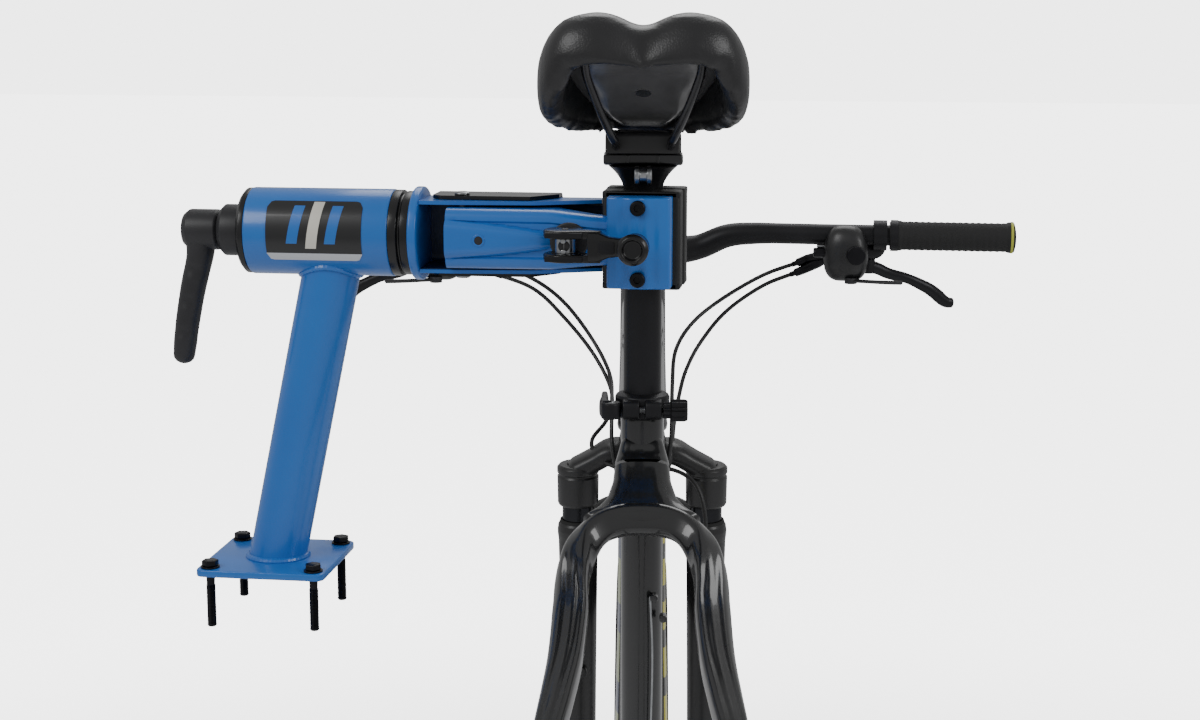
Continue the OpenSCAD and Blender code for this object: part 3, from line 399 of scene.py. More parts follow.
def surface(name, low, high, rough, grain_mm, bump_mm, tone_mm=40, stretch=(1, 1, 1), pattern="noise", **sockets):
    """A finish with a tone that drifts over tone_mm, a roughness that drifts with it, and a relief of
    grain_mm across and bump_mm deep."""
    made, tree, shader, place = blank(name, **sockets)
    drift = add(tree, "ShaderNodeTexNoise", {"Vector": place, "Scale": 1000 / tone_mm, "Detail": 4.0})
    two_tone(tree, shader, between(tree, drift.outputs["Fac"], -0.3, 1.3), low, high)
    tree.links.new(between(tree, drift.outputs["Fac"], rough * 0.8, rough * 1.2), shader.inputs["Roughness"])
    if bump_mm:
        scaled = add(tree, "ShaderNodeMapping", {"Vector": place, "Scale": stretch}).outputs["Vector"]
        if pattern == "noise":
            kind = add(tree, "ShaderNodeTexNoise", {"Vector": scaled, "Scale": 1000 / grain_mm, "Detail": 3.0})
            height = kind.outputs["Fac"]
        else:
            kind = add(tree, "ShaderNodeTexVoronoi", {"Vector": scaled, "Scale": 1000 / grain_mm})
            height = kind.outputs["Distance"]
        bump = add(tree, "ShaderNodeBump", {"Height": height, "Distance": bump_mm * MM, "Strength": 1.0})
        tree.links.new(bump.outputs["Normal"], shader.inputs["Normal"])
    return made


def powder_coat():
    """Polyester powder coat on steel: smooth gloss with a shallow orange peel about 2 mm across."""
    return surface("blue_powder_coat", "#1a66bb", "#2473c8", 0.3, 2.2, 0.035, 90, Coat_Weight=0.35,
            Coat_Roughness=0.12)


def painted_shade_powder():
    """The same coat in a deeper tone, as painted shade: a thin liner of it lies inside the channel, where the channel
    turns from the light.
    """
    return surface("blue_powder_coat_painted_shade", "#0a1f3f", "#0e2a52", 0.4, 2.2, 0.035, 60)


def gloss_paint():
    """Wet-painted aluminium: deep black under a clear coat, with faint flow marks."""
    return surface("gloss_black_paint", "#0c0c0e", "#161719", 0.28, 9.0, 0.02, 70, Coat_Weight=0.8,
            Coat_Roughness=0.06)


def satin_paint():
    """Satin black paint on cast magnesium: soft sheen and a fine cast texture."""
    return surface("satin_black_paint", "#141415", "#1f1f21", 0.4, 1.2, 0.03, 60, Coat_Weight=0.25,
            Coat_Roughness=0.25)


def anodised():
    """Black anodised aluminium: dark metal with a fine bead-blasted grain."""
    return surface("black_anodised_aluminium", "#1b1b1d", "#28282b", 0.42, 0.8, 0.02, 50, Metallic=0.6)


def drawn_tube():
    """Black anodised drawn tube: the grain runs along the tube, so highlights are long and soft."""
    return surface(
        "drawn_black_tube", "#202022", "#2c2c2f", 0.36, 1.5, 0.015, 80, (1, 1, 0.04), Metallic=0.65
    )


def moulded_plastic():
    """Moulded glass-filled nylon: matt black with a spark-eroded grain."""
    return surface("moulded_nylon", "#1c1c1f", "#2b2b2e", 0.42, 0.9, 0.05, 45)


def smooth_plastic():
    """Moulded ABS with a polished tool: smooth black with a low sheen."""
    return surface("moulded_abs", "#0d0d0e", "#171719", 0.24, 5.0, 0.01, 60)


def rubber():
    """Moulded nitrile rubber: matt, with a powdery bloom in patches."""
    return surface("nitrile_rubber", "#131313", "#1f1f20", 0.72, 1.3, 0.06, 30)


def vinyl():
    """Embossed PVC leather: small cells with a slick top, so it glints on the folds."""
    return surface(
        "embossed_vinyl", "#161618", "#212123", 0.36, 1.5, 0.12, 35, pattern="cells", Coat_Weight=0.15, Coat_Roughness=0.3
    )


def steel():
    """Zinc-plated steel: pale metal, finely brushed, with dull patches."""
    return surface("zinc_plated_steel", "#8f9193", "#b4b6b8", 0.3, 0.5, 0.01, 12, (1, 1, 0.2), Metallic=1.0)


def black_oxide():
    """Black oxide on a turned steel part: near-black metal with an oily sheen."""
    return surface("black_oxide_steel", "#17171a", "#242428", 0.34, 0.7, 0.015, 20, Metallic=0.7)


def acetal():
    """Machined acetal: warm white, faintly translucent, satin."""
    return surface("machined_acetal", "#cfccc2", "#dddad0", 0.45, 1.0, 0.01, 30)


def hard_anodised():
    """Hard-anodised, polished fork tube: dark grey mirror with fine lengthwise polishing."""
    return surface("polished_fork_tube", "#2a2b2e", "#37383c", 0.2, 1.0, 0.005, 60, (1, 1, 0.05), Metallic=0.8)


def stripes(name, base, bands, axis_socket, width_mm, slant=0.0):
    """A gloss paint with bands of another colour across it, their edges square: the band is where a
    saw-tooth along one coordinate, slanted by another, is over a half."""
    made, tree, shader, place = blank(name, Roughness=0.3, Coat_Weight=0.6, Coat_Roughness=0.1)
    split = add(tree, "ShaderNodeSeparateXYZ", {"Vector": place})
    lean = add(tree, "ShaderNodeMath", {0: split.outputs["X"], 1: slant}, operation="MULTIPLY")
    total = add(tree, "ShaderNodeMath", {0: split.outputs[axis_socket], 1: lean.outputs[0]}, operation="ADD")
    saw = add(tree, "ShaderNodeMath", {0: total.outputs[0], 1: width_mm * MM}, operation="WRAP")
    saw.inputs[2].default_value = 0.0
    over = add(tree, "ShaderNodeMath", {0: saw.outputs[0], 1: width_mm * MM * 0.62}, operation="GREATER_THAN")
    two_tone(tree, shader, over.outputs[0], base, bands)
    return made


PALETTE = {}


def finish(name):
    """Each material is made once, when it is first asked for."""
    makers = {
        "blue": powder_coat, "blue_painted_shade": painted_shade_powder, "gloss": gloss_paint, "satin": satin_paint,
        "anodised": anodised, "tube": drawn_tube, "nylon": moulded_plastic, "abs": smooth_plastic,
        "rubber": rubber, "vinyl": vinyl, "steel": steel, "oxide": black_oxide, "acetal": acetal,
        "fork_tube": hard_anodised, "label": label, "tyre": tyre_rubber, "sleeve": cable_sleeve,
        "pad": pad_rubber, "rail": rail_steel, "decal_right": decal_right, "decal_left": decal_left,
        "spoke": spoke_steel, "accent": accent, "shell": painted_light_shell,
    }
    if name not in PALETTE:
        PALETTE[name] = makers[name]()
    return PALETTE[name]


def label():
    """Printed polyester label: black field and a pale strip along its foot, under a gloss laminate."""
    made, tree, shader, place = blank("printed_label", Roughness=0.32, Coat_Weight=0.4, Coat_Roughness=0.1)
    split = add(tree, "ShaderNodeSeparateXYZ", {"Vector": place})
    foot = BARREL[2, 3] - 14.2 * MM
    below = add(tree, "ShaderNodeMath", {0: split.outputs["Z"], 1: foot}, operation="LESS_THAN")
    two_tone(tree, shader, below.outputs[0], "#141416", "#c9ccd2")
    return made


def tyre_rubber():
    """Tyre tread compound: matt charcoal, faintly dusty."""
    return surface("tyre_compound", "#151515", "#222222", 0.75, 2.4, 0.08, 60)


def cable_sleeve():
    """Extruded PVC sleeve: black, satin, quite smooth."""
    return surface("extruded_pvc_sleeve", "#1d1d1e", "#2a2a2b", 0.38, 3.0, 0.01, 30)


def pad_rubber():
    """Moulded clamp pad: soft black rubber, a little shiny where it has been pressed."""
    return surface("moulded_clamp_pad", "#0f0f10", "#1a1a1b", 0.5, 1.8, 0.05, 25)


def rail_steel():
    """Painted saddle rail: black with long soft highlights."""
    return surface("painted_rail", "#232325", "#303033", 0.25, 2.0, 0.008, 30, Metallic=0.5, Coat_Weight=0.3)


def spoke_steel():
    """Drawn stainless wire, black coated: dark with fine bright glints."""
    return surface("coated_spoke_wire", "#2a2a2c", "#4a4a4d", 0.3, 0.6, 0.005, 15, Metallic=0.9)


def decal_right():
    """Yellow film decal with slanting dark bands, under the clear coat."""
    return stripes("yellow_decal", "#c9c23a", "#26261f", "Z", 26, 0.9)


def decal_left():
    """Pale green film decal with wide darker bands, under the clear coat."""
    return stripes("pale_decal", "#b4bb9a", "#75798a", "Z", 52, 0.0)


def painted_light_shell():
    """Injection-moulded nylon shell, glossy, with soft flow marks; its tone is lifted to dark grey as painted light,
    against the shade in the saddle's recess.
    """
    return surface("glossy_nylon_shell_painted_light", "#4c4c4d", "#666667", 0.22, 14.0, 0.03, 40)


def accent():
    """Yellow-green printed ring on a grip's end."""
    return surface("printed_accent", "#a9ad3c", "#b9bd4b", 0.5, 1.0, 0.01, 10)


# ---- Sizes that a user may change ----


class StandSizes(bpy.types.PropertyGroup):
    """Sizes of the finished surfaces on the stand."""

    weld: FloatProperty(
        name="Weld bead", description="Radius of the weld bead at the column's foot", default=2.6 * MM, unit="LENGTH"
    )
    bulge: FloatProperty(
        name="Pressed bulge", description="Depth of the bulge pressed into the front arm", default=6.5 * MM, unit="LENGTH"
    )


class BicycleSizes(bpy.types.PropertyGroup):
    """Sizes of the finished surfaces on the bicycle."""

    cable_d: FloatProperty(
        name="Cable", description="Outside diameter of a cable's sleeve", default=4.6 * MM, unit="LENGTH"
    )
    knob_h: FloatProperty(
        name="Tread", description="Height of the tyre's knobs", default=3.0 * MM, unit="LENGTH"
    )
    grip_ribs: IntProperty(name="Grip ribs", description="Number of ribs round a grip", default=22, min=8, max=40)


class StageSizes(bpy.types.PropertyGroup):
    """The floor, the light and the camera."""

    lens: FloatProperty(name="Lens", description="Focal length of the camera in millimetres", default=63.0,
            min=20)
    pitch: FloatProperty(
        name="Pitch", description="How far the camera looks down", default=math.radians(10.5), unit="ROTATION"
    )
    azimuth: FloatProperty(
        name="Azimuth", description="How far the camera stands to the right", default=math.radians(8), unit="ROTATION"
    )
    backdrop: FloatProperty(name="Backdrop", description="Brightness of the backdrop behind the object",
            default=4.0, min=0)
    floor: FloatVectorProperty(
        name="Floor colour", description="Colour of the floor", default=(0.84, 0.84, 0.85), subtype="COLOR"
    )


# ---- Camera and stage ----


def studio_floor(tone, backdrop):
    """A pale floor that runs up into a lit backdrop: near the object it is matt paint, and further
    off it gets the backdrop's brightness, for the camera alone."""
    made, tree, shader, place = blank("pale_floor", Base_Color=(*tone, 1), Roughness=0.9)
    far = add(tree, "ShaderNodeVectorMath", {0: place, 1: tuple(JAW_POINT * [1, 1, 0])}, operation="DISTANCE")
    fade = add(tree, "ShaderNodeMapRange", {"Value": far.outputs["Value"], "From Min": 0.2, "From Max": 2.6},
               interpolation_type="SMOOTHSTEP")
    seen = add(tree, "ShaderNodeLightPath").outputs["Is Camera Ray"]
    both = add(tree, "ShaderNodeMath", {0: seen, 1: fade.outputs["Result"]}, operation="MULTIPLY")
    total = add(tree, "ShaderNodeMath", {0: both.outputs[0], 1: backdrop}, operation="MULTIPLY")
    shader.inputs["Emission Color"].default_value = (1, 1, 1, 1)
    tree.links.new(total.outputs[0], shader.inputs["Emission Strength"])
    return made


class BIKE_OT_stage(bpy.types.Operator):
    """Pale floor, soft studio light and the camera."""

    bl_idname = "bike.stage"
    bl_label = "Stage"

    def execute(self, context):
        sizes = context.scene.stage_sizes
        camera = bpy.data.objects.new("camera", bpy.data.cameras.new("camera"))
        context.scene.collection.objects.link(camera)
        camera.data.lens, camera.data.sensor_width = sizes.lens, 36
        camera.data.clip_start, camera.data.clip_end = 0.05, 60
        back = 1.697  # metres from the point looked at
        across, ahead, above = -0.0346, -0.0045, 0.2126  # that point from the jaws, in metres
        camera.location = (
            JAW_POINT[0] + back * math.sin(sizes.azimuth) + across,
            JAW_POINT[1] - back * math.cos(sizes.azimuth) + ahead,
            JAW_POINT[2] + above,
        )
        camera.rotation_euler = (math.pi / 2 - sizes.pitch, 0, sizes.azimuth)
        context.scene.camera = camera
        low = CAD_BOX[0][2] - 0.002
        bpy.ops.mesh.primitive_plane_add(size=40, location=(0, 0, low))
        floor = context.object
        floor.name = "floor"
        floor.data.materials.append(studio_floor(sizes.floor, sizes.backdrop))
        world = bpy.data.worlds.new("studio")
        context.scene.world = world
        world.use_nodes = True
        tree = world.node_tree
        seen = add(tree, "ShaderNodeLightPath").outputs["Is Camera Ray"]
        strength = between(tree, seen, 0.46, sizes.backdrop)
        ground = tree.nodes["Background"]
        ground.inputs["Color"].default_value = (1, 1, 1, 1)
        tree.links.new(strength, ground.inputs["Strength"])
        lights = [  # place and size in metres, power in watts
            ((-1.7, -2.0, 2.2), 1.5, 34),
            ((2.5, -1.0, 1.4), 1.1, 18),
            ((0.3, 2.0, 2.4), 1.8, 24),
        ]
        for i, (place, size, power) in enumerate(lights):
            light = bpy.data.objects.new(f"softbox_{i}", bpy.data.lights.new(f"softbox_{i}", "AREA"))
            context.scene.collection.objects.link(light)
            light.data.size, light.data.energy = size, power
            light.location = place
            aim = Vector(JAW_POINT.tolist()) - Vector(place)
            light.rotation_euler = aim.to_track_quat("-Z", "Y").to_euler()
        return {"FINISHED"}


# ---- Cables ----

# Routes in the bicycle's axes, in millimetres: points chosen, the same as in the CAD.
LEFT_ROUTE = [[-172, 584, 470], [-124, 594, 450], [-88, 602, 422], [-56, 592, 382], [-36, 562, 348],
    [-33, 520, 322], [-32, 460, 292], [-24, 420, 262], [-14, 392, 240]]
FRONT_ROUTE = [[-170, 584, 458], [-122, 596, 438], [-88, 598, 406], [-54, 584, 366], [-34, 556, 330],
    [-38, 526, 306], [-54, 506, 287], [-48, 488, 272], [-24, 468, 265], [6, 466, 265],
    [34, 468, 263], [56, 460, 250], [66, 452, 220], [66, 450, 170]]
SHIFT_RIGHT_ROUTE = [[172, 584, 470], [131, 600, 452], [85, 602, 424], [54, 584, 401], [36, 556, 376],
    [32, 520, 345], [30, 450, 300], [22, 410, 262], [13, 385, 238]]
BRAKE_RIGHT_ROUTE = [[170, 584, 459], [132, 604, 440], [92, 610, 410], [64, 600, 377], [48, 580, 350],
    [40, 556, 326], [34, 520, 300], [30, 470, 274], [20, 440, 254], [12, 415, 236]]


class BIKE_OT_cables(bpy.types.Operator):
    """Cable sleeves from the levers to the frame, and the front brake's hose, each with its end ferrules."""

    bl_idname = "bike.cables"
    bl_label = "Cables"

    def execute(self, context):
        r = context.scene.bicycle_sizes.cable_d / MM / 2
        for name, route, stay in (
            ("gear_cable_left", LEFT_ROUTE, ()),
            ("gear_cable_right", SHIFT_RIGHT_ROUTE, ()),
            ("rear_brake_cable", BRAKE_RIGHT_ROUTE, ("frame_cables",)),
            ("front_brake_hose", FRONT_ROUTE, ("brake_hose",)),
        ):
            path = curve(route, 90)
            parts = [tube(path, r, BIKE, (0.3, 0.2, 1), circle(12))]
            if name != "front_brake_hose":
                parts.append(tube(path[-2:], r * 1.25, BIKE, (0.3, 0.2, 1), circle(12), 1, dome=True))
            parts.append(tube(path[:3], r * 1.3, BIKE, (0.3, 0.2, 1), circle(12), 1, dome=True))
            made = piece(name, parts, "steer", [finish("sleeve"), finish("oxide")], stay)
            if name != "front_brake_hose":
                made.parent = None
                made.matrix_world = Matrix.Identity(4)
                del made["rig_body"]
                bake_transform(made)
        return {"FINISHED"}


# ---- Stand ----


class BIKE_OT_base(bpy.types.Operator):
    """Base plate, bolts with washers and hexagon heads, and the welded column."""

    bl_idname = "bike.base"
    bl_label = "Base and column"

    def execute(self, context):
        sizes = context.scene.stand_sizes
        low, high = span("base_plate", BENCH)
        plate = slab(box_outline(low[0], low[1], high[0], high[1], 8), low[2], high[2], BENCH, 1.0)
        piece("plate", [plate], "stand", finish("blue"), "base_plate")
        bolts = []
        low_b, high_b = span("base_bolts", BENCH)
        reach = (high_b[0] - low_b[0]) / 2 - 8
        t = high[2]
        for x in (-reach, reach):
            for y in (-reach, reach):
                spot = turned(BENCH, 12 * (x + 2 * y) / reach, (0, 0, 1), (x, y, 0))
                bolts.append(bar(t, t + 1.6, 8, spot, 0.4, "z", 0, 32))
                hexagon = rounded(arc((0, 0), 7.1, 0, 300, 6), 0.5, 2)
                bolts.append(slab(hexagon, t + 1.6, t + 6.6, spot, 0.9))
                thread = lathe(
                    [(low_b[2], 0), (low_b[2], 3.2), (low_b[2] + 1, 4)]
                    + [(low_b[2] + 2 + i * 1.25 / 2, 4 - 0.6 * (i % 2)) for i in range(56)]
                    + [(t, 4), (t, 0)], spot, 20, axis="z",
                )
                bolts.append(thread)
        piece("bench_bolts", bolts, "stand", finish("oxide"), "base_bolts")
        low_c, high_c = span("column", BENCH)
        d = high_c[1] - low_c[1]
        axis_top = BARREL[2, 3] / MM
        lean = math.radians(12.1)
        a = np.linspace(0, 2 * np.pi, 72, endpoint=False)
        across = np.stack([np.cos(a) * d / 2 / math.cos(lean), np.sin(a) * d / 2], -1)
        t_axis = np.linspace(0, 1, 30)
        barrel_r = span("barrel", BARREL)[1][1]
        x0 = t * math.tan(lean)
        base = np.stack([x0 + across[:, 0], across[:, 1], 0 * a + t], -1)
        drop = np.sqrt(np.maximum(barrel_r**2 - base[:, 1] ** 2, 0))
        top_z = axis_top - drop + 1.0
        top = np.stack([base[:, 0] + (top_z - t) * math.tan(lean), base[:, 1], top_z], -1)
        wall = base[None] + t_axis[:, None, None] * (top - base)[None]
        parts = [grid(wall, BENCH)]
        w = sizes.weld / MM
        for loop, lift, out in ((base, w * 0.35, 0.2), (top, -w * 0.3, 0.2)):
            ripple = 1 + 0.13 * np.abs(np.sin(np.arange(144) * np.pi / 3))
            a2 = np.linspace(0, 2 * np.pi, 144, endpoint=False)
            ring = np.stack([np.interp(a2, np.append(a, 2 * np.pi),
                    np.append(loop[:, i], loop[0, i])) for i in range(3)], -1)
            ring[:, 2] += lift
            centre = ring.mean(0)
            outward = ring - centre
            outward[:, 2] = 0
            outward /= np.linalg.norm(outward, axis=1, keepdims=True)
            b = np.linspace(0, 2 * np.pi, 8, endpoint=False)
            bead = (
                ring[:, None]
                + outward[:, None] * (np.cos(b)[None, :, None] * w * ripple[:, None, None] + out)
                + np.array([0, 0, 1.0]) * (np.sin(b)[None, :, None] * w * ripple[:, None, None])
            )
            parts.append(grid(bead, BENCH, close_u=True, caps=False))
        piece("leaning_column", parts, "stand", finish("blue"), "column")
        return {"FINISHED"}


class BIKE_OT_barrel(bpy.types.Operator):
    """Barrel, its rings, the label, the lock collar and the lock handle."""

    bl_idname = "bike.barrel"
    bl_label = "Barrel"

    def execute(self, context):
        low, high = span("barrel", BARREL)
        r = high[1]
        piece("barrel_tube", [bar(low[0], high[0], r, BARREL, 1.5, bore=r - 4, sides=128)], "stand",
              finish("blue"), "barrel")
        a, b = span("barrel_end_ring", BARREL)
        bore = 20
        end = rounded([(a[0], bore), (a[0], r - 4), (a[0] + 3, r - 0.5), (low[0], r - 0.5), (low[0], r - 4.3),
                (b[0], r - 4.3), (b[0], r - 7), (low[0] - 2, r - 7), (low[0] - 2, bore)], 0.8, 4)
        piece("end_ring", [lathe(end, BARREL, 96, True)], "stand", finish("abs"), "barrel_end_ring")
        a, b = span("barrel_seal_ring", BARREL)
        w = b[0] - a[0]
        seal = rounded([(a[0], bore), (a[0], r - 0.5), (a[0] + 0.42 * w, r - 0.5), (a[0] + 0.46 * w, r - 3.6),
                (a[0] + 0.56 * w, r - 3.6), (a[0] + 0.6 * w,
                r - 1.4), (b[0], r - 1.4), (b[0], bore)], 0.9, 4)
        piece("seal_ring", [lathe(seal, BARREL, 96, True)], "stand", finish("abs"), "barrel_seal_ring")
        piece("badge", self.badge(r), "stand", [finish("label"), finish("acetal"), finish("blue")], "badge_plate")
        a, b = span("lock_collar", BARREL)
        collar = rounded([(a[0], 6.1), (a[0], b[1] - 4), (a[0] + 4, b[1]), (b[0], b[1]), (b[0], 6.1)],
                [0.3, 1.5, 1.5, 0.8, 0.3], 4)
        piece("thread_collar", [lathe(collar, BARREL, 64, True)], "stand", finish("nylon"), "lock_collar")
        piece("lock_lever", self.handle(), "lock", [finish("nylon"), finish("oxide")], "lock_handle")
        return {"FINISHED"}

    @staticmethod
    def badge(r):
        """A thin curved sheet with round corners: its outline lies on the barrel, and the sheet is the
        outline's points carried round the barrel by the angle that their height gives."""
        low, high = span("badge_plate", BARREL)
        x = np.linspace(low[0], high[0], 30)
        z = np.linspace(low[2], high[2], 24)
        cx, cz = (low[0] + high[0]) / 2, (low[2] + high[2]) / 2
        hx, hz, corner = (high[0] - low[0]) / 2, (high[2] - low[2]) / 2, 6
        u, v = np.meshgrid((x - cx) / hx, (z - cz) / hz, indexing="ij")
        pull = np.maximum(np.abs(u) - (1 - corner / hx), 0) * hx / corner
        v = np.sign(v) * np.minimum(np.abs(v), 1 - (1 - np.sqrt(np.maximum(1 - pull**2, 0))) * corner / hz)
        angle = (cz + v * hz) / r
        shell = np.stack([cx + u * hx, -(r + 0.35) * np.cos(angle), (r + 0.35) * np.sin(angle)], -1)
        parts = [thick(shell, 0.5, BARREL)]
        for i, (x0, rise) in enumerate(((-20, 16), (-4, 20), (12, 16))):
            t = np.linspace(-1, 1, 8)
            band_x, band_z = cx + x0 + t[:, None] * 3 + np.array([0,
                    9])[None], cz + 5 + t[:, None] * rise + np.zeros((1, 2))
            turn = band_z / r
            mark = np.stack([band_x, -(r + 0.68) * np.cos(turn), (r + 0.68) * np.sin(turn)], -1)
            parts.append(thick(mark, 0.12, BARREL, 2 - i % 2))
        return parts

    @staticmethod
    def handle():
        """A hub on the barrel's axis and a grip of oval section with three finger grooves."""
        low, high = span("lock_handle", BARREL)
        hub_r = high[2]
        end = high[0]
        hub = rounded([(end - 32, 0), (end - 32, hub_r - 4), (end - 27, hub_r), (end - 3, hub_r),
                (end, hub_r - 3),
                (end, 0)], [0, 2, 3, 1, 1, 0], 4)
        parts = [lathe(hub, BARREL, 64)]
        bottom = low[2] + 9
        path = curve([[end - 19, 0, -6], [end - 20, 0, -22], [end - 27, 0, -50], [end - 33, 0, -80],
                [end - 37, 0, bottom]], 60)
        t = np.linspace(0, 1, 60)
        grooves = 1 - 0.09 * np.clip(np.sin((t - 0.3) * 3.2 * 2 * np.pi / 0.72), 0, 1) * (t > 0.3) * (t < 0.98)
        width = np.interp(t, [0, 0.15, 0.3, 0.9, 1], [14.5, 13, 12, 10.6, 9.8])
        parts.append(tube(path, np.stack([width * 0.92, width * grooves], -1), BARREL, (0, 1, 0), circle(28),
                dome=True))
        parts.append(bar(end - 32.4, end - 31, 7, BARREL, 0.4, paint=1))
        return parts


# ---- Clamp ----


def channel(x, half_height, front, rear, web, t, matrix, paint=0, radius=5.0, relief=None):
    """A folded channel: at each x the section runs along one flange from its free edge, round a bend,
    across the web and back along the other flange. The web stands at y = web, and relief(x, z) moves it."""
    n_f, n_b, n_w = 5, 6, 24
    rows = []
    bend = np.linspace(0, np.pi / 2, n_b)
    toward = np.sign(web - rear)
    for i, xi in enumerate(x):
        h = half_height[i]
        r = min(radius, h * 0.5)
        y_edge = front[i]
        flange_y = np.linspace(y_edge, web - toward * r, n_f)[:-1]
        low = np.stack([flange_y, -h + 0 * flange_y], -1)
        turn = np.stack([web - toward * r + toward * r * np.sin(bend), -h + r - r * np.cos(bend)], -1)
        wz = np.linspace(-h + r, h - r, n_w)[1:-1]
        across = np.stack([web + 0 * wz, wz], -1)
        if relief is not None:
            across[:, 0] += relief(xi, wz / max(h - r, 1e-6))
        upper = np.vstack([turn, across, (turn * [1, -1])[::-1], (low * [1, -1])[::-1]])
        section = np.vstack([low, upper])
        rows.append(np.column_stack([np.full(len(section), xi), section]))
    return thick(np.array(rows), t, matrix, paint)


class BIKE_OT_clamp(bpy.types.Operator):
    """Flange, rear and front jaw channels, jaw heads, rubber pads, bolts, rod and cam lever."""

    bl_idname = "bike.clamp"
    bl_label = "Clamp"

    def execute(self, context):
        self.flange()
        self.rear_jaw()
        self.front_jaw(context.scene.stand_sizes.bulge / MM)
        self.pads_and_bolts()
        self.cam()
        return {"FINISHED"}

    def flange(self):
        """A turned disc with a rounded rim, behind the jaws."""
        low, high = span("clamp_flange", BARREL)
        r = high[1]
        profile = rounded([(low[0], 0), (low[0], r - 1), (low[0] + 1.5, r), (high[0] - 1, r), (high[0], r - 2.5),
                (high[0], 0)], [0, 1.5, 2, 2.5, 2, 0], 5)
        piece("flange", [lathe(profile, BARREL, 128)], "head", finish("blue"), "clamp_flange")

    def rear_jaw(self):
        """The folded rear channel with its head, the black channel round it, the hinge rivet and the nut."""
        low = span("rear_jaw", JAWS)[0]
        h = span("front_jaw_head", JAWS)[1][2]
        channel_h = 29.5
        x = np.linspace(low[0], -34, 30)
        front = np.interp(x, [low[0], -150, -85, -34], [-26, -26, -20, 2])
        half = np.full(30, channel_h) - 1.5
        parts = [channel(x, half, front, -26, 23.5, 3, JAWS, 0, 6)]
        # Painted shade: a thin liner of deeper blue just inside the web and flanges stands in for the shade within
        # the channel.
        shade_liner_front = np.interp(x, [low[0], -150, -85, -34], [-22, -22, -16, 5])
        parts.append(channel(x, half - 1.8, shade_liner_front, -26, 21.4, 0.5, JAWS, 1, 5))
        left, right = low_high_head()
        web = slab(box_outline(-42, -channel_h + 8, left + 1, channel_h - 8, 3), 24, 47, JAWS, 2, axis="y")
        parts.append(web)
        parts.append(jaw_block(left, right, 26, 47, h, 1))
        piece("rear_jaw_channel", parts, "head", [finish("blue"), finish("blue_painted_shade")], "rear_jaw")
        o_low, o_high = span("outer_channel", JAWS)
        x = np.linspace(o_low[0], o_high[0] - 11, 26)
        front = np.interp(x, [o_low[0], o_low[0] + 6, -90, o_high[0] - 11], [-8, -15.5, -15.5, 8])
        half = np.full(26, o_high[2] - 1.6)
        outer = [channel(x, half, front, -16, o_high[1] - 1.5, 3, JAWS, 0, 6)]
        piece("outer_shell", outer, "head", finish("abs"), "outer_channel")
        p_low, p_high = span("hinge_pin", JAWS)
        pin = turned(JAWS, 0, shift=((p_low[0] + p_high[0]) / 2, (p_low[1] + p_high[1]) / 2, 0))
        z, r = p_high[2], (p_high[0] - p_low[0]) / 2
        profile = rounded([(-z, 0), (-z, r - 1.5), (-z + 1, r), (-z + 2.5, r), (-z + 2.6, 4), (z - 2.6, 4),
                (z - 2.5, r),
                (z - 1, r), (z, r - 1.5), (z, 0)], 0.7, 3)
        piece("hinge_rivet", [lathe(profile, pin, 32, axis="z")], "head", finish("steel"), "hinge_pin")
        n_low, n_high = span("rod_nut", JAWS)
        nut = turned(JAWS, 0, shift=((n_low[0] + n_high[0]) / 2, 0, 0))
        hexagon = rounded(arc((0, 0), 9.4, 0, 300, 6), 0.6, 2)
        parts = [bar(n_low[1], n_low[1] + 3, n_high[2], nut, 0.6, "y"),
                 slab(hexagon, n_low[1] + 3, n_high[1], nut, 1, axis="y")]
        piece("lock_nut", parts, "head", finish("steel"), "rod_nut")

    def front_jaw(self, bulge):
        """The folded front arm with its pressed bulge, and its head."""
        low, high = span("front_arm", JAWS)
        h = high[2]
        left, right = low_high_head()
        x = np.linspace(low[0], left + 2, 44)
        half = np.interp(x, [low[0], -70, left - 14, left + 2], [h, h - 0.5, h - 4, h - 5]) - 1.5
        front = np.interp(x, [low[0], low[0] + 7, -80, -60, left + 2], [-2, 4, 2, -12, -24])

        def relief(xi, v):
            """A parabola pressed forwards, wide and deep at the hinge end and closing towards the rod."""
            s = np.clip((-62 - xi) / (-62 - low[0]), 0, 1)
            reach = np.sqrt(s) * 0.98 + 1e-6
            return -bulge * np.clip(1 - (np.abs(v) / reach) ** 6, 0, 1) * np.clip(s * 6, 0, 1) + 1.5

        arm = channel(x, half, front, 0, low[1] + 1.5, 3, JAWS, 0, 7, relief)
        parts = [arm]
        hole = turned(JAWS, 0, shift=(-127.6, 0, 0))
        face = low[1] - bulge + 1.3
        parts.append(bar(face - 0.5, face + 0.8, 5.0, hole, 0.5, "y", 3.5, 32, 1))
        # Painted shade: a thin dark nylon disc fills the hole, standing in for the shade inside it.
        parts.append(bar(face - 0.15, face + 0.3, 3.6, hole, 0.1, "y", 0, 32, 2))
        parts.append(bar(low[1] - 0.4, low[1] + 1.2, 9.5, turned(JAWS, 0, shift=(ROD_X, 0, 0)), 0.3, "y", 0, 40,
                2))
        piece("front_jaw_arm", parts, "front_jaw", [finish("blue"), finish("blue"), finish("nylon")], "front_arm")
        head_h = span("front_jaw_head", JAWS)[1][2]
        piece("front_jaw_block", [jaw_block(left, right, -47, -26, head_h, -1)], "front_jaw", finish("blue"),
              "front_jaw_head")

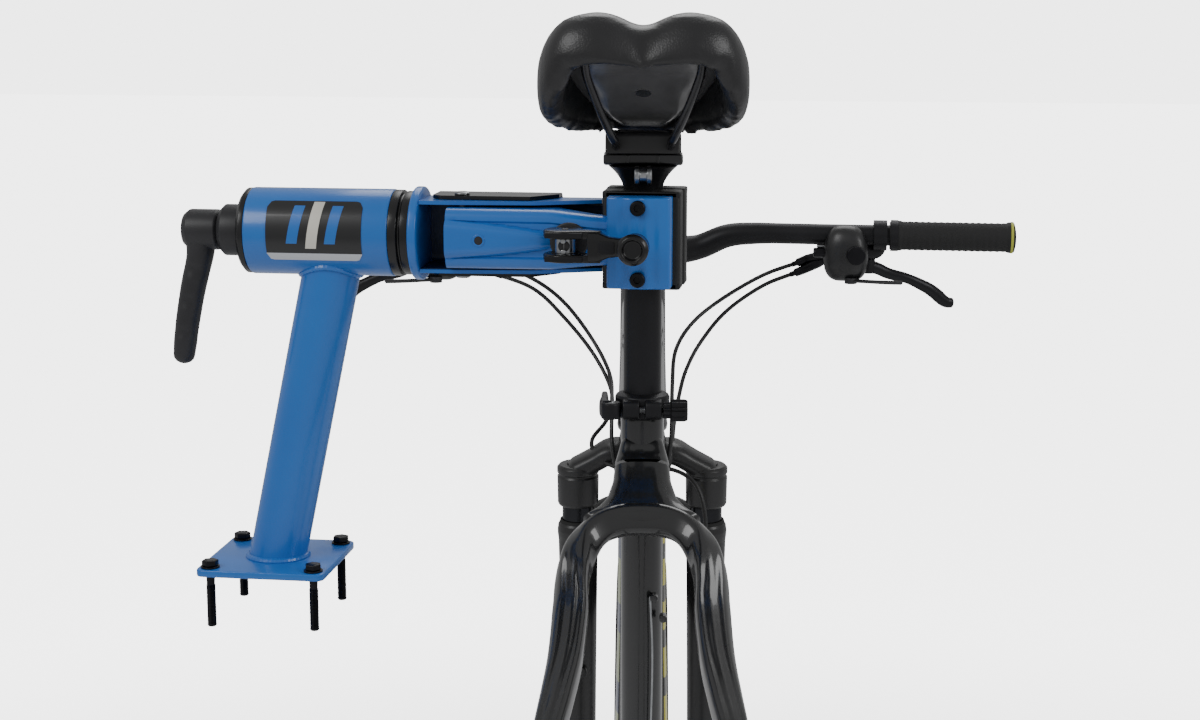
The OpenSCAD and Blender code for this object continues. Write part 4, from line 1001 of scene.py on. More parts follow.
    def pads_and_bolts(self):
        """Pads whose outline ends in an arc of the post's radius, and the socket bolts."""
        r = POST_R + 0.05
        for node, side, body in (("rear_pad", 1, "head"), ("front_pad", -1, "front_jaw")):
            low, high = span(node, JAWS)
            near, far = (low[1], high[1]) if side > 0 else (high[1], low[1])
            start = math.degrees(math.asin(abs(near) / r))
            bow = arc((0, 0), r, 180 - side * start, 180 - side * (180 - start), 24)
            corners = [(high[0], near), (high[0], far), (low[0], far), (low[0], near)]
            corner = rounded(corners, [2, 3.5, 3.5, 2], 4)
            outline = np.vstack([corner, bow])
            half = high[2]
            parts = [slab(outline, -half, half, JAWS, 1.2)]
            for z in (-half, half):
                lip = rounded([(low[0], far), (high[0], far), (high[0], far - side * 7),
                        (low[0], far - side * 7)], 1.5, 3)
                parts.append(slab(lip, z * 0.93 - 2.4, z * 0.93 + 2.4, JAWS, 1.0))
            piece(node + "_moulding", parts, body, finish("pad"), node)
        parts = []
        low, high = span("jaw_bolts", JAWS)
        for z in (-28.5, 28.5):
            spot = turned(JAWS, 0, shift=((low[0] + high[0]) / 2, 0, z))
            socket = [(low[1] + 2.4, 0), (low[1] + 2.4, 2.6), (low[1], 2.9), (low[1], 5.4), (low[1] + 1.2, 6.2),
                      (low[1] + 4, 6.2), (low[1] + 4, 3), (high[1], 3), (high[1], 0)]
            parts.append(lathe(rounded(socket, [0, 0.2, 0.2, 0.8, 0.6, 0.3, 0, 0.5, 0], 3), spot, 32, axis="y"))
        piece("socket_bolts", parts, "front_jaw", finish("oxide"), "jaw_bolts")

    def cam(self):
        """The rod's washer and end, and the lever whose cam is an arc round the cross pin."""
        rod = turned(JAWS, 0, shift=(ROD_X, 0, 0))
        low, high = span("rod_washer", rod)
        piece("thrust_washer", [bar(low[1], high[1], high[0], rod, 1.2, "y", 5.1, 64)], "screw", finish("nylon"),
              "rod_washer")
        c_low, c_high = span("cam_lever", rod)
        cam_r = 17.4
        pin_y = c_low[1] + cam_r
        lever = turned(JAWS, 0, shift=(ROD_X, pin_y, 0))
        parts = []
        for z0, z1 in ((6.2, c_high[2]), (c_low[2], -6.2)):
            outline = np.vstack([arc((0, 0), cam_r, 60, 300, 26),
                    [[24, -13.4], [30, -12], [30, -3], [22, -2], [12, 8]]])
            parts.append(slab(outline, z0, z1, lever, 1.6))
            tip = rounded([(-14, -14), (16, -14), (16, -10), (-14, -10)], 1.2, 3)
            parts.append(slab(tip, z0 + 1, z1 - 1, turned(lever, 0, shift=(0, -3.6, 0)), 0.4, paint=1))
        x = np.linspace(20, 48, 22)
        half = np.interp(x, [20, 28, 36, 44, 48], [12.3, 11.6, 8.2, 7.2, 8.0])
        back, face = np.interp(x, [20, 30, 48], [-2.5, -3, -4]), np.interp(x, [20, 30, 48], [-15.6, -14.2, -13.4])
        ring = rounded([(-1, -1), (1, -1), (1, 1), (-1, 1)], 0.5, 4)
        centre, deep = (back + face) / 2, (back - face) / 2
        body = np.stack([x[:, None] + 0 * ring[None, :, 0], centre[:, None] + deep[:, None] * ring[None, :, 0],
                half[:, None] * ring[None, :, 1]], -1)
        parts.append(grid(body, lever))
        facet = slab(rounded([(28, -5), (41, -5), (41, 5), (28, 5)], 1.5, 3), -14.6, -13.9, lever, 0.2, axis="y",
                paint=1)
        parts.append(facet)
        reach = 56.5
        eye = turned(lever, 0, shift=(reach, 0, 0))
        parts.append(bar(-cam_r + 2, -cam_r + 14, 11, eye, 1.5, "y"))
        piece("cam_handle", parts, "cam", [finish("abs"), finish("anodised")], "cam_lever")
        k_low, k_high = span("lever_knob", JAWS)
        k = turned(JAWS, 0, shift=((k_low[0] + k_high[0]) / 2, 0, 0))
        f, b, r = k_low[1], k_high[1], k_high[2]
        profile = rounded([(f + 3.5, 0), (f + 3.5, r - 5.5), (f, r - 4.2), (f, r - 2.5), (f + 2.5, r),
                (b, r - 0.8), (b, 0)],
                [0, 1.2, 0.8, 1.5, 2, 0.8, 0], 5)
        piece("round_knob", [lathe(profile, k, 64, axis="y")], "cam", finish("abs"), "lever_knob")
        nut = turned(JAWS, 0, shift=(ROD_X, 0, 0))
        parts = [bar(pin_y - 8, pin_y + 5, 4.6, nut, 0.6, "y"),
                 bar(-13, 13, 3, turned(nut, 0, shift=(0, pin_y, 0)), 0.6, "z")]
        for z in (-4.4, 4.4):
            parts.append(bar(pin_y - 11.6, pin_y - 7.6, 2.2, turned(nut, 0, shift=(0, 0, z)), 0.7, "y", paint=1))
        piece("rod_end", parts, "screw", [finish("nylon"), finish("steel")], "cross_pin")


def low_high_head():
    """Left and right faces of the jaw heads, in the jaws' axes."""
    low, high = span("front_jaw_head", JAWS)
    return low[0], high[0]


def jaw_block(left, right, y0, y1, half, side):
    """A jaw head: straight sides, a back that carries the pad, and a face bowed outwards by a few
    millimetres with three broad upright flutes, extruded upright with rounded rims."""
    x = np.linspace(left + 1.5, right - 1.5, 90)
    mid, wide = (left + right) / 2, (right - left) / 2
    u = (x - mid) / wide
    bow = 3.5 * (1 - u**2) - 3.5
    flutes = -0.9 * (0.5 - 0.5 * np.cos(2 * np.pi * np.clip((u + 0.72) / 1.44, 0, 1) * 3))
    outer = y1 if side > 0 else y0
    inner = y0 if side > 0 else y1
    face = np.stack([x, outer + side * (bow + flutes)], -1)
    outline = np.vstack([face, [[right, outer - side * 5], [right, inner], [left, inner],
            [left, outer - side * 5]]])
    return slab(outline, -half, half, JAWS, 1.4, 4)


# ---- Seatpost and saddle ----


class BIKE_OT_saddle(bpy.types.Operator):
    """Seatpost, clamp block, bolt, rails, glossy shell and the padded cover."""

    bl_idname = "bike.saddle"
    bl_label = "Seatpost and saddle"

    def execute(self, context):
        low, high = span("seatpost", BIKE)
        r = POST_R
        top = high[2]
        flare = [(low[2], 0), (low[2], r - 0.8), (low[2] + 0.8, r)]
        flare += [(z, r) for z in np.linspace(low[2] + 3, top - 26, 6)]
        lift = np.linspace(0, 1, 12)
        flare += [(top - 24 + 23 * t, r + (high[0] - r - 1) * t**2.2) for t in lift]
        flare += [(top, high[0] - 2), (top, 0)]
        piece("post", [lathe(flare, BIKE, 96, axis="z")], "head", finish("tube"), "seatpost")
        low, high = span("saddle_clamp", BIKE)
        w, middle, top = high[0], low[2] + 9, high[2] + 9
        lower = rounded([(low[1], low[2] + 2), (low[1] + 1, middle), (high[1] - 1, middle), (high[1], low[2] + 2),
                (high[1] - 8, low[2]), (low[1] + 8, low[2])], [2, 1, 1, 2, 2, 2], 4)
        upper = rounded([(low[1] + 1, middle + 0.7), (low[1] + 4, top), (high[1] - 4, top),
                (high[1] - 1, middle + 0.7)],
                [1, 5, 5, 1], 5)
        parts = [slab(lower, -w, w, BIKE, 2.0, axis="x"), slab(upper, -w + 1.5, w - 1.5, BIKE, 3.0, axis="x")]
        parts += [slab(lower * [1.03, 1] - [0, 0.2], x - 1.2, x + 1.2, BIKE, 0.6, axis="x") for x in (-12, 12)]
        piece("clamp_block", parts, "head", finish("satin"), "saddle_clamp")
        low, high = span("saddle_clamp_bolt", BIKE)
        mid = (low + high) / 2
        spot = turned(BIKE, 0, shift=mid)
        half, rad = (high - low)[0] / 2, (high - low)[2] / 2
        outline = rounded([(-half, 0), (-half, rad - 1), (-half + 1, rad), (-half * 0.45, rad),
                (-half * 0.4, rad * 0.72),
                (half * 0.4, rad * 0.72), (half * 0.45,
                rad), (half - 1, rad), (half, rad - 1), (half, 0)],
                [0, 0.6, 0.6, 0.6, 0.6, 0.6, 0.6, 0.6, 0.6, 0], 3)
        piece("barrel_nut", [lathe(outline, spot, 48)], "head", finish("steel"), "saddle_clamp_bolt")
        self.rails_and_cover()
        return {"FINISHED"}

    def rails_and_cover(self):
        """The cover, the shell as a lifted sheet under it, and the rails as curves."""
        made = piece("saddle_top", [self.cover()], "head", finish("vinyl"), "saddle_cover", 70)
        cloth_pass(made)
        y = np.linspace(-116, 34, 46)
        v = np.linspace(-1, 1, 45)
        floor = np.interp(y, [-116, -80, -40, -22, 0, 34], [36, 31, 21, 15, 12, 12])
        half = np.interp(y, [-116, -80, -40, 0, 34], [66, 70, 56, 36, 22])
        lift = 30 * np.maximum(np.abs(v) - 0.56, 0) ** 1.3
        ripple = 0.5 * np.sin(y[:, None] / 9) * np.exp(-((np.abs(v[None]) - 0.62) / 0.1) ** 2)
        shell = np.stack([half[:, None] * v[None], y[:, None] + 0 * v[None],
                floor[:, None] + lift[None] + ripple], -1)
        spot_v, spot_y = np.meshgrid(np.linspace(-1, 1, 17), np.linspace(-1, 1, 9))
        x_oval = 6.2 * spot_v * np.sqrt(1 - 0.98 * spot_y**2)
        y_oval = -50 + 5.5 * spot_y
        oval = np.stack([x_oval, y_oval, np.interp(y_oval, y, floor) - 1.5], -1)
        parts = [thick(shell, 2.4, RAISED), thick(oval, 0.5, RAISED, 1)]
        # The shell's finish carries painted light: its tone is lifted against the shade under the saddle.
        piece("glossy_shell", parts, "head", [finish("shell"), finish("steel")], "saddle_shell")
        rail = curve([[45, -104, 46], [43, -90, 37], [35, -66, 20], [25, -40, 3], [22, -28, 0], [22, 0, 0],
                [22, 28, 0],
                [20, 46, 3], [17, 62, 12], [11, 84, 28], [7, 102, 42]], 90)
        parts = mirrored([tube(rail, 3.4, SADDLE, (1, 0, 0.2), circle(20), dome=True)], BIKE)
        piece("rails", parts, "head", finish("rail"), "saddle_rails")

    @staticmethod
    def cover():
        """The padded cover: round the saddle's outline in plan, each ray from the middle line runs out
        over the top, down the side, under the lip and back inside up to the recess's ceiling. The top
        is highest on the two rear lobes, sinks along the middle and falls away towards the sides."""
        right = [[0, -131], [24, -134], [43, -134], [60, -129], [71, -120], [79, -105], [82, -86], [80, -62],
                 [70, -38],
                 [55, -15], [41, 2], [30, 20], [23, 44], [20, 80], [18.5, 112], [13, 122], [0, 125.5]]
        side = curve(right, 90)
        outline = np.vstack([side, (side * [-1, 1])[-2:0:-1]])
        middle = np.column_stack([0 * outline[:, 0], np.clip(outline[:, 1], -88, 104)])
        y_rim = outline[:, 1]
        low = np.interp(y_rim, [-135, -125, -115, -100, -80, -50, -20, 10, 40, 126],
                [25, 20, 7, -3, -8, -9, -6, 2, 12, 28])
        shares = np.array([0.02, 0.3, 0.58, 0.8, 0.92, 0.985, 1.0, 0.99, 0.95, 0.89, 0.83, 0.79, 0.76, 0.7, 0.4,
                0.02])
        levels = np.array([1, 1, 1, 1, 0.84, 0.62, 0.42, 0.2, 0.05, 0.0, 0.05, 0.22, 0.5, 0, 0, 0])
        xy = middle[None] + shares[:, None, None] * (outline - middle)[None]
        x, y = xy[..., 0], xy[..., 1]
        top = np.interp(y, [-136, -112, -60, 0, 60, 126], [62, 70, 70.5, 64, 58, 52])
        rear = np.clip((-y + 10) / 60, 0, 1)
        dip = (3 + 8 * rear) * np.exp(-((x / np.interp(y, [-60, 40], [22, 9])) ** 2))
        fall = rear * 17 * np.abs(x / 82) ** 3
        top = top - dip - fall
        edge = top[3][None]
        closing = np.clip((y_rim + 5) / 30, 0, 1)[None]
        ceiling = (1 - closing) * (top - 15) + closing * (low[None] + 0.6)
        z = low[None] + levels[:, None] * (edge - low[None])
        z = np.where(np.arange(16)[:, None] < 4, top, z)
        z = np.where(np.arange(16)[:, None] > 12, ceiling, z)
        rings = np.stack([x, y, z], -1)
        fine = curve(rings.reshape(16, -1), 72).reshape(72, -1, 3)
        turn = np.linspace(0, 2 * np.pi, fine.shape[1], endpoint=False)
        inside = np.clip((np.arange(72) - 44) / 4, 0, 1) * np.clip((62 - np.arange(72)) / 5, 0, 1)
        fine[..., 2] += inside[:, None] * (np.sin(turn * 37) + 0.7 * np.sin(turn * 61 + 1))[None] * 1.2
        return grid(fine, RAISED)


def cloth_pass(made):
    """Lets the padding fill its cover: the surface is remeshed, blown up a little as cloth and each
    vertex kept within a few millimetres of where it was drawn."""
    mesh = made.data
    bpy.context.view_layer.objects.active = made
    for other in bpy.context.selected_objects:
        other.select_set(False)
    made.select_set(True)
    remesh = made.modifiers.new("voxels", "REMESH")
    remesh.mode, remesh.voxel_size = "VOXEL", 4 * MM
    bpy.ops.object.modifier_apply(modifier=remesh.name)
    mesh = made.data
    count = len(mesh.vertices)
    before = np.zeros(count * 3)
    mesh.vertices.foreach_get("co", before)
    cloth = made.modifiers.new("padding", "CLOTH")
    cloth.settings.use_pressure = True
    cloth.settings.uniform_pressure_force = 4
    cloth.settings.effector_weights.gravity = 0
    cloth.settings.quality = 5
    for number in range(1, 21):
        bpy.context.scene.frame_set(number)
    bpy.ops.object.modifier_apply(modifier=cloth.name)
    bpy.context.scene.frame_set(1)
    after = np.zeros(count * 3)
    made.data.vertices.foreach_get("co", after)
    move = (after - before).reshape(-1, 3)
    length = np.linalg.norm(move, axis=1, keepdims=True)
    move *= np.minimum(1, 6 * MM / np.maximum(length, 1e-9))
    made.data.vertices.foreach_set("co", (before.reshape(-1, 3) + move * 0.6).ravel())
    made.data.update()
    for face in made.data.polygons:
        face.use_smooth = True
    smooth = made.modifiers.new("finish", "SUBSURF")
    smooth.levels = smooth.render_levels = 1


# ---- Frame ----


class BIKE_OT_frame(bpy.types.Operator):
    """Frame tubes, decals, cable bosses, wishbone rear triangle, and the seat collar with its lever."""

    bl_idname = "bike.frame"
    bl_label = "Frame"

    def execute(self, context):
        self.tubes()
        self.rear()
        self.collar()
        return {"FINISHED"}

    def tubes(self):
        """Rounded sections carried along each tube's slightly bowed line, and the decals as films on them."""
        top = span("seat_collar", BIKE)[0][2]
        up = np.array([0, 0, 1.0])
        head_bottom = 12
        low, high = (corner[2] for corner in span("frame", STEER))
        low = max(low, head_bottom)
        head_low = (np.linalg.inv(BIKE) @ STEER @ np.array([0, 0, head_bottom, 1]))[:3]
        head_high = (np.linalg.inv(BIKE) @ STEER @ np.array([0, 0, high, 1]))[:3]
        r = SEAT_TUBE_R
        wall = [(-16, 0), (-16, r - 2), (0, r), (top - 3, r), (top, r - 0.6), (top, 15.6), (top - 60, 15.6),
                (top - 60, 0)]
        parts = [lathe(rounded(wall, [0, 2, 1, 1, 0.5, 0.5, 0, 0], 3), BIKE, 96, axis="z")]
        # Painted shade: a thin dark nylon strip stands in for the shaded gap of the seat tube's slot.
        slot = box_outline(-1.3, top - 44, 1.3, top - 2, 1.2)
        parts.append(slab(slot, -r - 0.25, -r + 2, BIKE, 0.2, axis="y", paint=3))
        start = np.array([0, 6, 0.0])
        end = head_low + 0.18 * (head_high - head_low)
        n = 60
        t = np.linspace(0, 1, n)[:, None]
        sag = np.sin(np.pi * t) * np.array([0, 4, -5.0])
        down = start + (end - start) * t + sag
        across = np.interp(t[:, 0], [0, 0.15, 0.5, 0.85, 1], [27, 24.5, 23, 24, 22])
        deep = np.interp(t[:, 0], [0, 0.15, 0.5, 0.85, 1], [23, 23.5, 24.5, 27, 26])
        square = rounded_square(56, 0.8)
        size = np.stack([across, deep], -1)
        parts.append(tube(down, size, BIKE, up, square))
        cluster = span("rear_triangle", BIKE)[1][2] - 8
        t_start = np.array([0, 4, cluster - 4])
        t_end = head_low + 0.8 * (head_high - head_low)
        bow = np.sin(np.pi * t) * np.array([0, 0, 8.0])
        path = t_start + (t_end - t_start) * t + bow
        w = np.interp(t[:, 0], [0, 0.3, 1], [17, 20, 22])
        h = np.interp(t[:, 0], [0, 0.3, 0.8, 1], [17, 17, 20, 24])
        parts.append(tube(path, np.stack([w, h], -1), BIKE, up, square))
        gusset = curve([[0, -2, top - 50], [0, 10, cluster - 20], [0, 38, cluster - 6]], 14)
        parts.append(tube(gusset, np.linspace(10, 15, 14), BIKE, (1, 0, 0), circle(24), dome=True))
        mid = (low + high) / 2
        head = [(low, 0), (low, 26), (low + 5, 27), (low + 12, 26), (mid, 24.2), (high - 10, 23.6),
                (high - 4, 24.4), (high, 23.5), (high, 0)]
        parts.append(lathe(rounded(head, [0, 1.5, 2, 5, 20, 3, 2, 1, 0], 4), STEER, 72, axis="z"))
        shell = [(-36.5, 0), (-36.5, 20), (-35, 22.6), (-27, 22.6), (-24, 21.8), (24, 21.8), (27, 22.6),
                 (35, 22.6), (36.5, 20), (36.5, 0)]
        parts.append(lathe(rounded(shell, [0, 1, 1.5, 2, 2, 2, 2, 1.5, 1, 0], 3), BIKE, 72))
        for x, z in ((10.5, -52), (18, -58)):
            place = turned(BIKE, 0, shift=(x, 0, top + z * 2.9))
            parts.append(bar(-r - 6, -r + 4, 3.2, place, 0.8, "y"))
        wire = curve([[7, -r - 3, top - 150], [9, -r - 3.2, top - 200], [8, -r - 3, top - 260],
                [6, -r - 3, top - 330]], 30)
        parts.append(tube(wire, 0.9, BIKE, (1, 0, 0), circle(8), 4, dome=True))
        for side, paint, first, last in ((1, 1, 0.2, 0.8), (-1, 2, 0.15, 0.85)):
            s = np.linspace(first, last, 50)
            angle = np.linspace(-0.42, 0.55, 14)
            centre = np.stack([np.interp(s, t[:, 0], down[:, i]) for i in range(3)], -1)
            forward = (end - start) / np.linalg.norm(end - start)
            normal = np.cross([1, 0, 0], forward)
            sa = np.interp(s, t[:, 0], across)[:, None] * np.abs(np.cos(angle)) ** 0.8 + 0.35
            sd = np.interp(s, t[:, 0], deep)[:, None] * np.sign(np.sin(angle)) * np.abs(np.sin(angle)) ** 0.8
            film = centre[:, None] + side * sa[..., None] * np.array([1.0, 0, 0]) + sd[..., None] * normal
            parts.append(thick(film, 0.3, BIKE, paint))
        piece("frame_tubes", parts, "head",
              [finish("gloss"), finish("decal_right"), finish("decal_left"), finish("nylon"), finish("steel")],
              "frame")

    def rear(self):
        """Each stay is a rounded box section carried along a curve from the cluster, out over the wheel,
        and down to the dropout; its section is wide and shallow, with ridges pressed along its back."""
        low, high = span("rear_triangle", BIKE)
        cluster = high[2] - 16.4
        arch = np.array([[-14, -60, cluster - 32], [0, -60, cluster - 32], [17, -61, cluster - 33],
                [33, -65, cluster - 38],
                [46, -76, cluster - 49], [52.5, -96, cluster - 62], [54.5, -122, cluster - 72],
                [54.5, -152, cluster - 84], [57, -196, cluster - 106], [62, -232, cluster - 124],
                [68, -270, cluster - 144], [74, -330, cluster - 185]])
        drop_y = low[1] + 16
        path = curve(arch, 56)
        last = np.array([79.0, drop_y, local(BIKE, frame_mount())[2] + 12])
        tail = curve([arch[-2], arch[-1], (arch[-1] + last) / 2, last], 24)[8:]
        path = np.vstack([path, tail[1:]])
        n = len(path)
        s = np.linspace(0, 1, n)
        wide = np.interp(s, [0, 0.08, 0.2, 0.32, 0.5, 0.66, 0.8, 1], [11, 11, 11.5, 12.5, 14, 12, 9, 5.5])
        deep = np.interp(s, [0, 0.1, 0.25, 0.5, 0.8, 1], [13, 13, 12.5, 11.5, 10, 10])
        a = np.linspace(0, 2 * np.pi, 96, endpoint=False)
        c, d = np.cos(a), np.sin(a)
        bx, bz = np.sign(c) * np.abs(c) ** 0.62, np.sign(d) * np.abs(d) ** 0.62
        tangent = np.gradient(path, axis=0)
        tangent /= np.linalg.norm(tangent, axis=1, keepdims=True)
        lean = np.array([0, 0.42, 0.9])
        out = np.cross(tangent, lean)
        out /= np.linalg.norm(out, axis=1, keepdims=True)
        top = np.cross(out, tangent)
        on = np.clip((s - 0.3) / 0.08, 0, 1) * np.clip((0.78 - s) / 0.08, 0, 1)
        ridge = 0.55 * np.cos(2 * np.pi * 1.6 * (bx[None] * 0.9 + 0.1 * np.sin(s * 9)[:, None]))
        ridge = ridge * on[:, None] * (d > 0.35)[None]
        ring = (path[:, None] + out[:, None] * (wide[:, None] * bx[None])[..., None]
                + top[:, None] * (deep[:, None] * bz[None] + ridge)[..., None])
        parts = [grid(ring, BIKE)]
        stay = curve([[27, -24, 0], [36, -60, 22], [46, -122, 52], [58, -200, 92], [66, -262, 124],
                [77, drop_y + 30, last[2] - 32], [79, drop_y + 4, last[2] - 20]], 60)
        sw = np.interp(np.linspace(0, 1, 60), [0, 0.3, 1], [9, 8, 4.8])
        sh = np.interp(np.linspace(0, 1, 60), [0, 0.3, 1], [14, 12, 9])
        parts.append(tube(stay, np.stack([sw, sh], -1), BIKE, (0, 0, 1), circle(28), dome=True))
        outline = rounded([(drop_y - 16, last[2] - 22), (drop_y - 6, last[2] - 34), (drop_y + 12, last[2] - 28),
                (drop_y + 16, last[2] + 4), (drop_y - 10, last[2] + 10)], 5, 4)
        parts.append(slab(outline, 75.2, 82, BIKE, 1.2, axis="x"))
        parts = mirrored(parts, BIKE)
        neck = curve([[0, -4, cluster + 16], [0, -12, cluster + 2], [0, -28, cluster - 13],
                [0, -46, cluster - 25],
                [0, -61, cluster - 33]], 30)
        t = np.linspace(0, 1, 30)
        across = np.interp(t, [0, 0.25, 0.5, 0.72, 0.88, 1], [18, 22, 24, 29, 37, 47])
        through = np.interp(t, [0, 0.3, 0.7, 1], [13, 17, 15, 12.5])
        parts.append(tube(neck, np.stack([across, through], -1), BIKE, (0, 0.7, 0.7), np.stack([bx, bz], -1),
                dome=True))
        piece("wishbone", parts, "head", finish("gloss"), "rear_triangle", 50)

    def collar(self):
        """A turned collar with two ears, a nut of ten scallops and a curved lever."""
        low, high = span("seat_collar", BIKE)
        r = SEAT_TUBE_R
        wall = rounded([(low[2], r + 0.05), (low[2], r + 4.4), (low[2] + 1.5, r + 5), (high[2] - 4, r + 5),
                (high[2] - 2, r + 4),
                (high[2], 16.2), (high[2], 15.6), (high[2] - 2.4, 15.6), (high[2] - 2.4, r + 0.05)],
                [0.3, 1, 1, 1.5, 1, 0.4, 0.2, 0.2, 0.2], 3)
        parts = [lathe(wall, BIKE, 96, True, axis="z")]
        ear_y = low[1] + 8
        for x0, x1 in ((-16, -2.5), (2.5, 16)):
            ear = rounded([(ear_y - 8, low[2] + 1), (ear_y - 8, high[2] - 3), (-r + 2, high[2] - 3),
                    (-r + 2, low[2] + 1)],
                    [6, 6, 1, 1], 5)
            parts.append(slab(ear, x0, x1, BIKE, 1.2, axis="x"))
        piece("quick_collar", parts, "head", finish("anodised"), "seat_collar")
        low, high = span("collar_nut", BIKE)
        spot = turned(BIKE, 0, shift=(0, (low[1] + high[1]) / 2, (low[2] + high[2]) / 2))
        r_nut = (high[2] - low[2]) / 2
        a = np.linspace(0, 2 * np.pi, 96, endpoint=False)
        scallop = r_nut - 1.0 - 0.9 * np.cos(10 * a)
        x1 = high[0]
        x0 = max(low[0], 17.0)
        steps = [(x0, 0.55), (x0 + 0.3, 0.72), (x0 + 6, 0.74), (x0 + 7, 1.0), (x1 - 3, 1.0), (x1 - 0.6, 0.93),
                 (x1, 0.8), (x1, 0.4), (x1 - 2, 0.36)]
        rows = [np.stack([np.full(96, x), np.cos(a) * scallop * f, np.sin(a) * scallop * f], -1) for x,
                f in steps]
        parts = [grid(np.array(rows), spot)]
        thread = []
        xs = np.arange(-15, x0, 0.5)
        pitch = [(x, 3.0 - 0.35 * (i % 2)) for i, x in enumerate(xs)]
        thread.append(lathe([(xs[0] - 0.2, 0)] + pitch + [(x0 + 1, 0)], spot, 24, paint=1))
        piece("scalloped_nut", parts + thread, "head", [finish("anodised"), finish("steel")], "collar_nut")
        low, high = span("collar_lever", BIKE)
        size = high - low
        lever = (low + high) / 2
        pivot = local(BIKE, joint_pos("post_lever_open"))
        path = curve([[pivot[0] - 3, pivot[1] - 1, pivot[2]], [pivot[0] - 6, lever[1] - size[1] * 0.2, pivot[2]],
                [low[0] + 6, lever[1] + size[1] * 0.1,
                pivot[2]], [low[0] + 5.5, high[1] - 4, pivot[2]]], 40)
        s = np.linspace(0, 1, 40)
        wide = np.interp(s, [0, 0.2, 0.6, 0.9, 1], [4.8, 4.2, 3.4, 3.0, 2.0])
        tall = np.interp(s, [0, 0.2, 0.6, 0.9, 1], [8.6, 7.4, 8.0, 7.4, 5.0])
        box_section = rounded_square(32, 0.6)
        parts = [tube(path, np.stack([wide, tall], -1), BIKE, (0, 0, 1), box_section, dome=True)]
        hub = turned(BIKE, 0, shift=pivot)
        h = min(high[2] - pivot[2], pivot[2] - low[2]) - 0.3
        parts.append(bar(-h, h, 8.2, hub, 1.5, "z"))
        parts.append(bar(h - 0.6, h + 0.2, 3.2, hub, 0.3, "z", paint=1))
        piece("quick_lever", parts, "post_lever", [finish("anodised"), finish("steel")], "collar_lever")


def frame_mount():
    """Middle of the rear axle, in the row frame."""
    mounts = {mount["name"]: mount for mount in frame["record"]["mounts"]}
    return np.array(mounts["rear_dropouts"]["pos_m"], float)


# ---- Fork ----


